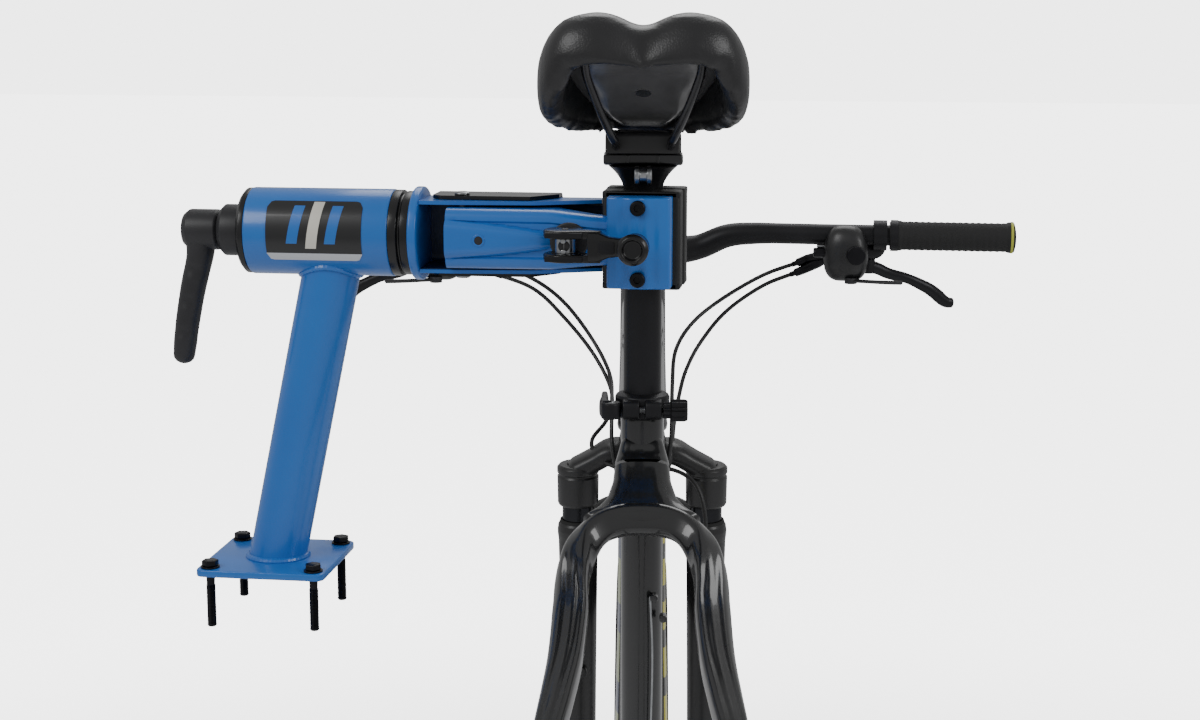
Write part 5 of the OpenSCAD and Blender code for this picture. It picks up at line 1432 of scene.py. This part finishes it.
class BIKE_OT_fork(bpy.types.Operator):
    """Crown with its arms and caps, stanchions, and lowers with seals, brace and dropouts."""

    bl_idname = "bike.fork"
    bl_label = "Fork"

    def execute(self, context):
        low, high = span("stanchions", STEER)
        r = 17.0
        gap = high[0] - r
        y_leg = (low[1] + high[1]) / 2
        parts = []
        path = curve([[0, 0, -16], [16, 2, -14], [34, y_leg * 0.4, -14], [gap - 20, y_leg * 0.8, -22],
                [gap, y_leg, -34]], 40)
        s = np.linspace(0, 1, 40)
        deep = np.interp(s, [0, 0.4, 0.8, 1], [27, 23, 21, 20])
        tall = np.interp(s, [0, 0.4, 0.8, 1], [13, 13, 12, 13])
        square = rounded_square(40, 0.75)
        parts.append(tube(path, np.stack([deep, tall], -1), STEER, (0, 0, 1), square, dome=True))
        leg = turned(STEER, 0, shift=(gap, y_leg, 0))
        z1 = high[2]
        cap = [(z1 - 40, 0), (z1 - 40, 20.5), (z1 - 37, 22), (z1 - 8, 22.4), (z1 - 6, 21), (z1 - 4.5, 21),
               (z1 - 3.5, 22.6),
               (z1 + 2, 22.6), (z1 + 5, 20), (z1 + 5, 0)]
        parts.append(lathe(rounded(cap, [0, 1.5, 2, 1, 0.6, 0.6, 1, 1.5, 2, 0], 3), leg, 72, axis="z"))
        parts.append(bar(z1 + 4.6, z1 + 7, 12, leg, 0.8, "z", 7, 40))
        parts = mirrored(parts, STEER)
        race = [(-30, 0), (-30, 22), (-26, 26), (-6, 27.5), (-1.5, 26.5), (-0.5, 24), (-0.5, 0)]
        parts.append(lathe(rounded(race, [0, 3, 4, 3, 1, 0.8, 0], 4), STEER, 72, axis="z"))
        piece("crown", parts, "steer", finish("satin"), "fork_crown")
        parts = mirrored([bar(low[2] + 1, high[2] - 8, r, leg, 0.8, "z", sides=64)], STEER)
        piece("fork_tubes", parts, "steer", finish("fork_tube"), "stanchions")
        self.lowers(gap, y_leg)
        return {"FINISHED"}

    def lowers(self, gap, y_leg):
        """Turned legs with seals, feet and bosses, and the brace as a curve between them."""
        low, high = span("fork_lowers", STEER)
        leg = turned(STEER, 0, shift=(gap, y_leg, 0))
        t, b = high[2], low[2]
        profile = [(t, 17.2), (t, 20), (t - 3, 21.6), (t - 9, 22.4), (t - 14, 22.2), (t - 20, 21.4),
                   (t - 60, 20.6), (t - 180, 19.2),
                   (b + 30, 17.4), (b + 12, 14), (b + 8, 12), (b + 8, 0), (b + 60, 0), (b + 60, 17.2)]
        parts = [lathe(rounded(profile, [0.5, 1, 2, 2, 2, 3, 20, 30, 8, 3, 1, 0, 0, 0.5], 4)[::-1], leg, 72,
                axis="z")]
        wiper = [(t - 1, 17.1), (t + 2, 17.1), (t + 3.4, 18.2), (t + 2.6, 19.4), (t - 1, 20.4)]
        parts.append(lathe(rounded(wiper, 0.6, 3), leg, 64, True, 1, "z"))
        axle = local(STEER, joint_pos("wheel_spin"))
        foot = rounded([(y_leg - 12, b + 40), (y_leg + 10, b + 40), (axle[1] + 13, axle[2] + 4),
                (axle[1] + 11, axle[2] - 12),
                (axle[1] - 9, axle[2] - 13), (y_leg - 11, b + 14)], [6, 6, 8, 8, 8, 6], 5)
        inner, outer = 52.0, min(high[0] - 1, gap + 10)
        parts.append(slab(foot, inner, outer, STEER, 2.5, axis="x"))
        boss = turned(STEER, 0, shift=(0, axle[1], axle[2]))
        parts.append(bar(inner - 0.5, outer + 3, 12.5, boss, 1.5, sides=48))
        arch_top = t - 2
        reach = y_leg - 40 if low[1] < y_leg - 30 else y_leg + 24
        path = curve([[gap + 1, y_leg, t - 34], [gap - 5, (y_leg + reach) / 2, t - 16],
                [gap - 20, reach, arch_top + 6],
                [gap - 42, reach, arch_top + 17], [0, reach, arch_top + 21]], 50)
        s = np.linspace(0, 1, 50)
        wide = np.interp(s, [0, 0.3, 0.7, 1], [11, 7, 6.5, 6.5])
        tall = np.interp(s, [0, 0.3, 0.7, 1], [16, 13, 11, 10])
        parts.append(tube(path, np.stack([wide, tall], -1), STEER, (0, 1, 0.35), circle(32), dome=True))
        parts = mirrored(parts, STEER)
        mount = [bar(y_leg - 30, y_leg - 12, 6, turned(STEER, 0, shift=(-gap + 4, 0, axle[2] + z)), 1,
                "y") for z in (150, 224)]
        parts += mount
        piece("lowers_casting", parts, "lowers", [finish("satin"), finish("rubber")], "fork_lowers")


# ---- Handlebar, grips and levers ----


class BIKE_OT_cockpit(bpy.types.Operator):
    """Handlebar, stem, grips, lever bodies, blades, shifters and thumb levers."""

    bl_idname = "bike.cockpit"
    bl_label = "Handlebar and levers"

    def execute(self, context):
        self.bar_and_stem()
        for side in (-1, 1):
            self.side(side, context.scene.bicycle_sizes.grip_ribs)
        return {"FINISHED"}

    def bar_and_stem(self):
        """The bar follows the middle of the CAD bar's sections; the stem clamps it."""
        low, high = span("handlebar", BIKE)
        co = node_points("handlebar", BIKE)
        xs = np.array([0, 30, 60, 90, 120, 160, 200, 260, 320, 380])
        line = []
        for x in xs:
            near = co[np.abs(co[:, 0] - x) < 14]
            middle = (near[:, 1:].min(0) + near[:, 1:].max(0)) / 2 if len(near) > 8 else (np.nan, np.nan)
            line.append([x, *middle])
        line = np.array(line)
        good = ~np.isnan(line[:, 1])
        line[:, 1] = np.interp(xs, xs[good], line[good, 1])
        line[:, 2] = np.interp(xs, xs[good], line[good, 2])
        self.line = line
        full = np.vstack([line[:0:-1] * [-1, 1, 1], line])
        path = curve(full, 160)
        reach = high[0] - 0.5
        path = path[np.abs(path[:, 0]) < reach]
        radius = np.interp(np.abs(path[:, 0]), [0, 30, 60, 140], [15.9, 15.9, 13.5, 11.1])
        piece("riser_bar", [tube(path, radius, BIKE, (0, 1, 0.1), circle(40), dome=True)], "steer",
              finish("anodised"),
              "handlebar")
        low, high = span("stem", STEER)
        mid = (np.linalg.inv(STEER) @ BIKE @ np.append(path[len(path) // 2], 1))[:3]
        parts = [bar(max(low[2], 120), high[2], 18.5, STEER, 1.5, "z", 14.2, 64)]
        neck = curve([[0, 12, mid[2]], [0, mid[1] * 0.5, mid[2]], [0, mid[1] - 12, mid[2]]], 20)
        parts.append(tube(neck, np.stack([np.full(20, 15.0),
                np.interp(np.linspace(0, 1, 20), [0, 1], [19, 15.0])], -1), STEER,
                (0, 0, 1), circle(36)))
        clamp = turned(STEER, 0, shift=(0, mid[1], mid[2]))
        parts.append(bar(-24, 24, 21.5, clamp, 2.5, bore=16.1, sides=64))
        for x in (-17, 17):
            for dz in (-19, 19):
                bolt = turned(clamp, 0, shift=(x, 0, dz))
                parts.append(bar(2, 19, 3.6, bolt, 0.8, "y", paint=1))
        cap = [(high[2], 0), (high[2], 16.5), (high[2] + 3, 16.5), (high[2] + 5, 14), (high[2] + 5, 0)]
        if high[2] + 5 < 400:
            parts.append(lathe(rounded(cap, [0, 1, 1.5, 1.5, 0], 3), STEER, 48, axis="z"))
        piece("stem_body", parts, "steer", [finish("anodised"), finish("oxide")], "stem")

    def side(self, side, ribs):
        """Grip, lever body, blade, shifter and thumb lever of one side."""
        word = "left" if side < 0 else "right"
        line = self.line * [side, 1, 1]
        x = np.abs(line[:, 0])
        end = span("grips", BIKE)[1][0] - 0.6
        start = end - 131
        s = np.linspace(start, end, 120)
        path = np.stack([side * s, np.interp(s, x, line[:, 1]), np.interp(s, x, line[:, 2])], -1)
        a = np.linspace(0, 2 * np.pi, 96, endpoint=False)
        u = (s - start) / (end - start)
        on = np.clip((u - 0.1) / 0.05, 0, 1) * np.clip((0.93 - u) / 0.04, 0, 1)
        rings = (15.2 + 0.9 * on[:, None] * np.sin(u[:, None] * np.pi * 40) * 0.35
                 * (0.6 + 0.4 * np.cos(ribs * a))[None])
        ends = np.interp(u, [0, 0.02, 0.09, 0.1, 0.93, 0.95, 0.99, 1], [14.5, 16, 16, 15.2, 15.2, 16.4, 16.4, 12])
        radius = np.where(on[:, None] > 0, rings, ends[:, None])
        t = np.gradient(path, axis=0)
        t /= np.linalg.norm(t, axis=1, keepdims=True)
        across = np.cross(t, [0, 0, 1.0])
        across /= np.linalg.norm(across, axis=1, keepdims=True)
        over = np.cross(across, t)
        grip = (path[:, None] + across[:, None] * (np.cos(a) * radius)[..., None]
                + over[:, None] * (np.sin(a) * radius)[..., None])
        parts = [grid(grip, BIKE)]
        for k in (0, 1):
            at_x = start + 5 if k == 0 else end - 3
            p = np.array([side * at_x, np.interp(at_x, x, line[:, 1]), np.interp(at_x, x, line[:, 2])])
            wide = 4 if k == 0 else 1.3
            parts.append(tube([p - t[60] * wide, p + t[60] * wide], 16.7, BIKE, (0, 0, 1), circle(48), 1 + k))
        piece(f"grip_{word}", parts, "steer", [finish("rubber"), finish("anodised"), finish("accent")],
              ("grips",) if side > 0 else ())
        flip = BIKE if side > 0 else BIKE @ np.diag([-1, 1, 1, 1])

        def centre(at_x):
            return np.array([at_x, np.interp(at_x, x, line[:, 1]), np.interp(at_x, x, line[:, 2])])

        b_low, b_high = mirrored_span("lever_bodies", side)
        clamp_x = b_high[0] - 10
        body_mid = (b_low + b_high) / 2
        parts = [tube([centre(clamp_x - 7), centre(clamp_x + 7)], 16.2, flip, (0, 0, 1), circle(40))]
        path = curve([centre(clamp_x) + [0, 12, -6], body_mid + [b_high[0] - body_mid[0] - 14, 4, -2], body_mid,
                [b_low[0] + 16, body_mid[1], body_mid[2] + 2], [b_low[0] + 3, body_mid[1], body_mid[2] + 2]], 40)
        size = np.interp(np.linspace(0, 1, 40), [0, 0.25, 0.6, 0.8, 1], [7, 9, 8.5, 6.5, 4.5])
        parts.append(tube(path, np.stack([size, size * 1.1], -1), flip, (0, 0, 1), circle(28), dome=True))
        parts.append(bar(b_low[0] - 4, b_low[0] + 9, 4.6,
                turned(flip, 0, shift=(0, body_mid[1], body_mid[2] + 2)), 1.2, paint=1))
        piece(f"lever_body_{word}", parts, "steer", [finish("anodised"), finish("steel")],
              ("lever_bodies",) if side > 0 else ())
        l_low, l_high = mirrored_span(f"brake_lever_{word}", side)
        pts = node_points(f"brake_lever_{word}", flip)
        count = 22
        bins = np.linspace(l_low[0], l_high[0], count + 1)
        spine = []
        for i in range(count):
            inside = pts[(pts[:, 0] >= bins[i] - 6) & (pts[:, 0] <= bins[i + 1] + 6)]
            if len(inside) > 3:
                spine.append([(bins[i] + bins[i + 1]) / 2, *((inside[:, 1:].min(0) + inside[:, 1:].max(0)) / 2)])
        spine = np.array(spine)
        for _ in range(2):
            spine[1:-1] = (spine[:-2] + 2 * spine[1:-1] + spine[2:]) / 4
        blade = curve(spine, 60)
        s60 = np.linspace(0, 1, 60)
        wide = np.interp(s60, [0, 0.15, 0.5, 0.9, 1], [6, 4.5, 4.2, 4.6, 3.6])
        tall = np.interp(s60, [0, 0.15, 0.5, 0.85, 1], [8, 6.5, 5.5, 7.0, 5.5])
        parts = [tube(blade, np.stack([wide, tall], -1), flip, (0, 0, 1), circle(32), dome=True)]
        pivot = local(flip, joint_pos(f"{word}_brake_pull"))
        hub = turned(flip, 0, shift=pivot)
        parts.append(bar(-8, 8, 7.2, hub, 1.2, "z"))
        parts.append(bar(7.6, 8.8, 3.4, hub, 0.4, "z", paint=1))
        piece(f"blade_{word}", parts, f"{word}_brake", [finish("tube"), finish("steel")], f"brake_lever_{word}")
        s_low, s_high = mirrored_span("shifters", side)
        mid, deep = (s_low + s_high) / 2, (s_high - s_low) / 2
        v = np.linspace(-1, 1, 26)
        bulge = (1 - np.abs(v) ** 3) ** 0.45
        bulge = np.maximum(bulge, 0.02)
        cx, sx = rounded_square(48, 0.8).T
        pod = np.stack([mid[0] + 0.96 * deep[0] * v[:, None] + 0 * cx[None],
                mid[1] + 0.94 * deep[1] * bulge[:, None] * cx[None] * (0.8 + 0.2 * v[:, None]),
                mid[2] + 0.9 * deep[2] * bulge[:, None] * sx[None] - 3 * v[:, None] ** 2], -1)
        parts = [grid(pod, flip)]
        spot = turned(flip, 0, shift=(mid[0] + deep[0] * 0.35, mid[1], mid[2]))
        parts.append(bar(-deep[1] * 0.98 - 1, -deep[1] * 0.5, 10, spot, 1.2, "y", paint=1))
        barrel = turned(flip, 0, shift=(0, mid[1] + 2, mid[2]))
        knurl = [(s_low[0] - 9, 2.4), (s_low[0] - 9, 4.6), (s_low[0] - 7.5, 5.2), (s_low[0] + 4, 5.4),
                 (s_low[0] + 4, 2.4)]
        parts.append(lathe(rounded(knurl, 0.5, 3), barrel, 36, True, 1))
        for start, foot in ((BRAKE_RIGHT_ROUTE, body_mid + [0, 0, 2]), (SHIFT_RIGHT_ROUTE, mid)):
            first, second = np.array(start[0], float), np.array(start[1], float)
            along = (first - second) / np.linalg.norm(first - second)
            barrel_path = curve([first - along * 10, first, first + along * 12, (first + along * 20 + foot) / 2,
                    foot], 24)
            knurled = np.interp(np.arange(24), [0, 3, 4, 14, 15, 23], [2.6, 2.9, 4.6, 5.0, 3.8, 5.5])
            parts.append(tube(barrel_path, knurled, flip, (0, 0.3, 1), circle(18), 1, dome=True))
        piece(f"shifter_{word}", parts, "steer", [finish("satin"), finish("oxide")],
              ("shifters",) if side > 0 else ())
        t_low, t_high = mirrored_span(f"shift_lever_{word}", side)
        pivot = local(flip, joint_pos(f"{word}_shift_push"))
        tip = np.where(np.abs(t_low - pivot) > np.abs(t_high - pivot), t_low, t_high)
        z = (t_low[2] + t_high[2]) / 2
        path = curve([[pivot[0], pivot[1], z],
                [(pivot[0] + tip[0]) / 2, (pivot[1] * 0.6 + tip[1] * 0.4), z - 0.5],
                [tip[0] * 0.9 + pivot[0] * 0.1, tip[1] * 0.85 + pivot[1] * 0.15, z]], 30)
        s30 = np.linspace(0, 1, 30)
        flat = np.stack([np.interp(s30, [0, 0.3, 0.8, 1], [6.5, 4.5, 6.5, 5]),
                np.interp(s30, [0, 1], [1.9, 2.1])], -1)
        parts = [tube(path, flat, flip, (0, 0, 1), circle(28), dome=True)]
        parts.append(bar(-3.2, 3.2, 6.5, turned(flip, 0, shift=(pivot[0], pivot[1], z)), 0.8, "z"))
        piece(f"thumb_lever_{word}", parts, f"{word}_shift", finish("nylon"), f"shift_lever_{word}")


def mirrored_span(node, side):
    """Corners of one side's half of a node, with x counted outwards."""
    points = node_points(node, BIKE) * [side, 1, 1]
    points = points[points[:, 0] > 0]
    return points.min(0), points.max(0)


# ---- Front wheel ----


class BIKE_OT_wheel(bpy.types.Operator):
    """Tyre with its knobs, rim, spokes with nipples, hub and brake rotor."""

    bl_idname = "bike.wheel"
    bl_label = "Front wheel"

    def execute(self, context):
        high = span("front_tyre", WHEEL)[1]
        outer, half = high[2], high[0]
        knob = context.scene.bicycle_sizes.knob_h / MM
        r_high = span("front_rim", WHEEL)[1]
        rim_r = r_high[2]
        middle = outer - knob - half + 1
        a = np.radians(np.linspace(-142, 142, 56))
        wall = np.stack([np.sin(a) * (half - 1.2), middle + np.cos(a) * (outer - knob - middle)], -1)
        bead = np.array([[12.5, rim_r - 4], [9, rim_r - 5], [-9, rim_r - 5], [-12.5, rim_r - 4]])
        parts = [lathe(np.vstack([wall, bead]), WHEEL, 192, True)]
        parts += self.knobs(middle, half - 1.2, outer - knob - middle, knob)
        piece("tyre", parts, "wheel", finish("tyre"), "front_tyre")
        w = r_high[0] - 0.3
        section = [(-w, rim_r), (-w, rim_r - 7), (-w + 3, rim_r - 12), (-5, rim_r - 17.5), (5, rim_r - 17.5),
                   (w - 3, rim_r - 12),
                   (w, rim_r - 7), (w, rim_r), (w - 1.8, rim_r), (w - 2.4,
                rim_r - 6), (-w + 2.4, rim_r - 6), (-w + 1.8, rim_r)]
        piece("rim", [lathe(rounded(section, 0.9, 3), WHEEL, 192, True)], "wheel", finish("anodised"),
              "front_rim")
        self.hub_and_spokes(rim_r)
        return {"FINISHED"}

    @staticmethod
    def knobs(middle, across, up, knob):
        """Blocks on the tread in five rows: each is a block of six faces whose corners are set by an
        angle round the section, an angle round the wheel and a height over the casing."""
        made, faces, start = [], [], 0
        count = 76
        for row, (angle, width, length, shift) in enumerate(
            ((0, 11, 0.55, 0), (27, 9, 0.5, 0.5), (-27, 9, 0.5, 0.5), (52, 11, 0.62, 0.1), (-52, 11, 0.62, 0.1))
        ):
            n = np.arange(count)
            theta = (n + shift + 0.12 * (n % 2)) * 2 * np.pi / count
            half_t = length * np.pi / count
            half_a = math.radians(width / 2)
            corner = []
            for lift, shrink in ((-0.6, 1.0), (knob * (1 if row == 0 else 0.9), 0.84)):
                for da, dt in ((-1, -1), (1, -1), (1, 1), (-1, 1)):
                    b = math.radians(angle) + da * half_a * shrink
                    th = theta + dt * half_t * shrink
                    x = math.sin(b) * (across + lift)
                    r = middle + math.cos(b) * (up + lift)
                    corner.append(np.stack([np.full(count, x), r * np.cos(th), r * np.sin(th)], -1))
            points = np.stack(corner, 1).reshape(-1, 3)
            made.append(points)
            block = np.array([[0, 1, 2, 3], [4, 5, 6, 7], [0, 1, 5, 4], [1, 2, 6, 5], [2, 3, 7, 6], [3, 0, 4, 7]])
            every = block[None] + 8 * np.arange(count)[:, None, None] + start
            faces += every.reshape(-1, 4).tolist()
            start += len(points)
        return [(at(WHEEL, np.vstack(made)), faces, 0)]

    def hub_and_spokes(self, rim_r):
        """A turned hub, a rotor with six arms, and spokes crossed by a fixed angle."""
        low, high = span("front_hub", WHEEL)
        end = high[0]
        r = 9.0
        shape = rounded([(-52, 0), (-52, r), (-36, r + 1), (-33, 26), (-29, 26), (-26, 15), (0, 12.5), (26, 15),
                (29, 26), (33, 26),
                (36, r + 1), (52, r), (52, 0)], [0, 1, 3, 1.2, 1.2, 8, 30, 8, 1.2, 1.2, 3, 1, 0], 5)
        parts = [lathe(shape, WHEEL, 72)]
        parts.append(bar(low[0] + 0.5, end - 0.5, 4.4, WHEEL, 1.5, paint=1))
        r_out = high[2]
        disc = [bar(-40, -38.2, r_out, WHEEL, 0.4, bore=r_out - 13, sides=128, paint=1)]
        for i in range(6):
            arm = turned(WHEEL, 60 * i, (1, 0, 0))
            path = curve([[-39.1, 6, 12], [-39.1, 12, 34], [-39.1, 6, r_out - 16], [-39.1, 0, r_out - 11]], 14)
            disc.append(tube(path, np.stack([np.full(14, 0.85), np.linspace(5.5, 3.4, 14)], -1), arm, (1, 0, 0),
                    circle(12), 1))
        piece("hub_and_rotor", parts + disc, "wheel", [finish("anodised"), finish("steel")], "front_hub")
        spokes = []
        for side in (-1, 1):
            for i in range(16):
                base = turned(WHEEL, 22.5 * i + side * 5.6, (1, 0, 0))
                swing = math.radians(34 if i % 2 else -34)
                foot = [side * 31, 24.5 * math.sin(swing), 24.5 * math.cos(swing)]
                head = [side * 3, 0, rim_r - 15]
                middle = [(foot[0] + head[0]) / 2, (foot[1] + head[1]) / 2, (foot[2] + head[2]) / 2]
                spokes.append(tube([foot, middle, head], 1.0, base, (1, 0, 0.1), circle(8)))
                step = [head[0] - (foot[0] - head[0]) * -0.055, foot[1] * 0.055,
                        head[2] - (head[2] - foot[2]) * 0.055]
                spokes.append(tube([step, head], 1.9, base, (1, 0, 0.1), circle(8), 1))
                spokes.append(bar(side * 31 - 2.6, side * 31 + 2.6, 1.9,
                        turned(base, 0, shift=(0, foot[1], foot[2])), 0.5, sides=12))
        piece("spokes", spokes, "wheel", [finish("spoke"), finish("oxide")], "front_spokes")


# ---- Cranks and pedals ----


class BIKE_OT_cranks(bpy.types.Operator):
    """Crank arms, chainring with its teeth, and the two platform pedals."""

    bl_idname = "bike.cranks"
    bl_label = "Cranks and pedals"

    def execute(self, context):
        low, high = span("crankset", BIKE)
        ends = [local(BIKE, joint_pos(f"{word}_pedal_spin")) for word in ("left", "right")]
        parts = [bar(-60, 60, 12, BIKE, 1, sides=48)]
        for word, end in zip((-1, 1), ends):
            pedal = end.copy()
            inner = 50.0
            outer = high[0] if word > 0 else -low[0]
            face = outer - 9
            path = curve([[word * (inner + 6), 0, 0], [word * (inner + 9), pedal[1] * 0.3, pedal[2] * 0.3],
                    [word * face, pedal[1] * 0.75, pedal[2] * 0.75], [word * face, pedal[1], pedal[2]]], 50)
            s = np.linspace(0, 1, 50)
            wide = np.interp(s, [0, 0.3, 0.8, 1], [9, 7.5, 6.5, 6.5])
            tall = np.interp(s, [0, 0.12, 0.3, 0.85, 1], [19, 18, 15, 12.5, 14.5])
            section = rounded_square(40, 0.7, 0.8)
            parts.append(tube(path, np.stack([tall, wide], -1), BIKE, [1, 0, 0.001], section, dome=True))
            eye = turned(BIKE, 0, shift=(0, pedal[1], pedal[2]))
            a0, a1 = (word * face - 7, word * face + 7)
            parts.append(bar(min(a0, a1), max(a0, a1), 14.5, eye, 2, sides=48))
            hub0, hub1 = sorted((word * (inner + 0.5), word * (inner + 17)))
            parts.append(bar(hub0, hub1, 19, BIKE, 3, sides=64))
            parts.append(bar(*sorted((word * (inner + 15), word * (inner + 19))), 9, BIKE, 1, sides=40, paint=1))
        teeth = 32
        a = np.linspace(0, 2 * np.pi, teeth * 12, endpoint=False)
        ring_r = 65
        tooth = ring_r + 2.6 * np.clip(np.cos(teeth * a) * 1.5, -0.7, 1)
        outer = np.stack([np.full(len(a), 0.0), tooth * np.cos(a), tooth * np.sin(a)], -1)
        inner = np.stack([np.full(len(a), 0.0), 52 * np.cos(a), 52 * np.sin(a)], -1)
        x0, x1 = 47.6, 49.8
        shell = np.stack([inner + [x0, 0, 0], outer * [1, 0.985, 0.985] + [x0, 0, 0], outer + [x0 + 0.7, 0, 0],
                outer + [x1 - 0.7, 0, 0], outer * [1, 0.985, 0.985] + [x1, 0, 0], inner + [x1, 0, 0]])
        parts.append(grid(shell, BIKE, close_u=True, caps=False))
        for i in range(4):
            arm = turned(BIKE, 90 * i + 45, (1, 0, 0))
            path = [[51, 0, 10], [50, 0, 34], [48.8, 0, 55]]
            parts.append(tube(curve(path, 10), np.stack([np.linspace(14, 7, 10), np.full(10, 2.6)], -1), arm,
                    (1, 0, 0), circle(20)))
            parts.append(bar(46.8, 51.5, 4.2, turned(arm, 0, shift=(0, 0, 54)), 0.8, sides=20, paint=1))
        piece("cranks", parts, "crank", [finish("anodised"), finish("steel")], "crankset")
        for word, sign in (("left", -1), ("right", 1)):
            self.pedal(word, sign)
        return {"FINISHED"}

    @staticmethod
    def pedal(word, sign):
        axis_point = local(BIKE, joint_pos(f"{word}_pedal_spin"))
        flip = BIKE if sign > 0 else BIKE @ np.diag([-1, 1, 1, 1])
        here = turned(flip, 0, shift=(0, axis_point[1], axis_point[2]))
        low, high = span(f"pedal_{word}", here)
        wing = high[1] - 1
        x1 = high[0] - 0.5
        x0 = x1 - 98
        parts = []
        outline = rounded([(x0, -wing * 0.82), (x0 + 12, -wing), (x1 - 10, -wing), (x1, -wing * 0.8),
                (x1, wing * 0.8), (x1 - 10, wing),
                (x0 + 12, wing), (x0, wing * 0.82)], 6, 4)
        t = 11.0
        middle = np.array([(x0 + x1) / 2, 0])
        inside = middle + (outline - middle) * [1 - 2 * t / (x1 - x0), 1 - t / wing]
        e = 1.5
        h = min(high[2], 9) - e
        levels = [(inside, -h + e), (inside, -h), (outline, -h), (outline, -h + e), (outline, h - e),
                  (outline, h), (inside, h), (inside, h - e)]
        rows = []
        for i, (o, z) in enumerate(levels):
            shrink = 0.97 if i in (2, 5) else 1.0
            o = middle + (o - middle) * shrink
            rows.append(np.column_stack([o, np.full(len(o), z)]))
        parts.append(grid(np.array(rows), here, close_u=True, caps=False))
        spine = [(x0 - 2, 0), (x0 - 2, 8), (x0 + 4, 9.5), (x0 + 20, 8.5), (x1 - 16, 7.6), (x1 - 6, 8),
                 (x1 - 3, 0)]
        parts.append(lathe(rounded(spine, [0, 2, 2, 6, 4, 2, 0], 4), here, 48))
        bar_across = rounded([(-wing + 6, -h + 1), (wing - 6, -h + 1), (wing - 6, h - 1), (-wing + 6, h - 1)], 2,
                3)
        parts.append(slab(bar_across, (x0 + x1) / 2 - 5, (x0 + x1) / 2 + 5, here, 1.2, axis="x"))
        for side in (-1, 1):
            for px in (x0 + 14, (x0 + x1) / 2 - 14, (x0 + x1) / 2 + 14, x1 - 12):
                for py in (-wing + 5.5, wing - 5.5):
                    spot = turned(here, 0, shift=(px, py, 0))
                    a, b = sorted((side * (h - 0.5), side * (high[2] - 0.2 if high[2] > h + 1 else h + 2.2)))
                    parts.append(bar(a, b, 1.9, spot, 0.5, "z", sides=12, paint=1))
        inner = axle_side(low, x0)
        parts.append(bar(inner, x0, 6.8, here, 0.8, sides=32, paint=1))
        piece(f"platform_{word}", parts, f"{word}_pedal", [finish("satin"), finish("steel")], f"pedal_{word}")


def axle_side(low, x0):
    """Inner end of a pedal's axle, in millimetres from the bicycle's middle plane."""
    return min(low[0] + 0.5, x0 - 4)


# ---- Internal parts that stay as drawn in CAD ----


class BIKE_OT_internals(bpy.types.Operator):
    """Materials for the bushes, shafts, cups and bearings that show only in gaps."""

    bl_idname = "bike.internals"
    bl_label = "Inner parts"

    def execute(self, context):
        for node, name in (("barrel_bushes", "acetal"), ("clamp_shaft", "steel"), ("clamp_rod", "steel"),
                ("headset_cups", "anodised"), ("bottom_bracket", "anodised")):
            mesh = frame["nodes"][node].data
            mesh.materials.clear()
            mesh.materials.append(finish(name))
        return {"FINISHED"}


# ---- Panel and start ----


OPERATORS = (BIKE_OT_stage, BIKE_OT_cables, BIKE_OT_base, BIKE_OT_barrel, BIKE_OT_clamp, BIKE_OT_saddle,
        BIKE_OT_frame, BIKE_OT_fork, BIKE_OT_cockpit, BIKE_OT_wheel, BIKE_OT_cranks, BIKE_OT_internals)


class BIKE_PT_panel(bpy.types.Panel):
    """Buttons for each group of pieces, and the sizes."""

    bl_idname = "BIKE_PT_panel"
    bl_label = "Bicycle on stand"
    bl_space_type = "VIEW_3D"
    bl_region_type = "UI"
    bl_category = "Bicycle stand"

    def draw(self, context):
        for kind in OPERATORS:
            self.layout.operator(kind.bl_idname)
        for group in (context.scene.stand_sizes, context.scene.bicycle_sizes, context.scene.stage_sizes):
            for name in group.__annotations__:
                self.layout.prop(group, name)


CLASSES = (StandSizes, BicycleSizes, StageSizes, *OPERATORS, BIKE_PT_panel)


def register():
    for kind in CLASSES:
        bpy.utils.register_class(kind)
    bpy.types.Scene.stand_sizes = PointerProperty(type=StandSizes)
    bpy.types.Scene.bicycle_sizes = PointerProperty(type=BicycleSizes)
    bpy.types.Scene.stage_sizes = PointerProperty(type=StageSizes)


def unregister():
    for name in ("stand_sizes", "bicycle_sizes", "stage_sizes"):
        delattr(bpy.types.Scene, name)
    for kind in reversed(CLASSES):
        bpy.utils.unregister_class(kind)


def main():
    register()
    for kind in OPERATORS:
        group, name = kind.bl_idname.split(".")
        result = getattr(getattr(bpy.ops, group), name)()
        if result != {"FINISHED"}:
            raise RuntimeError(f"{kind.bl_idname} did not finish")


if __name__ == "__main__":
    main()
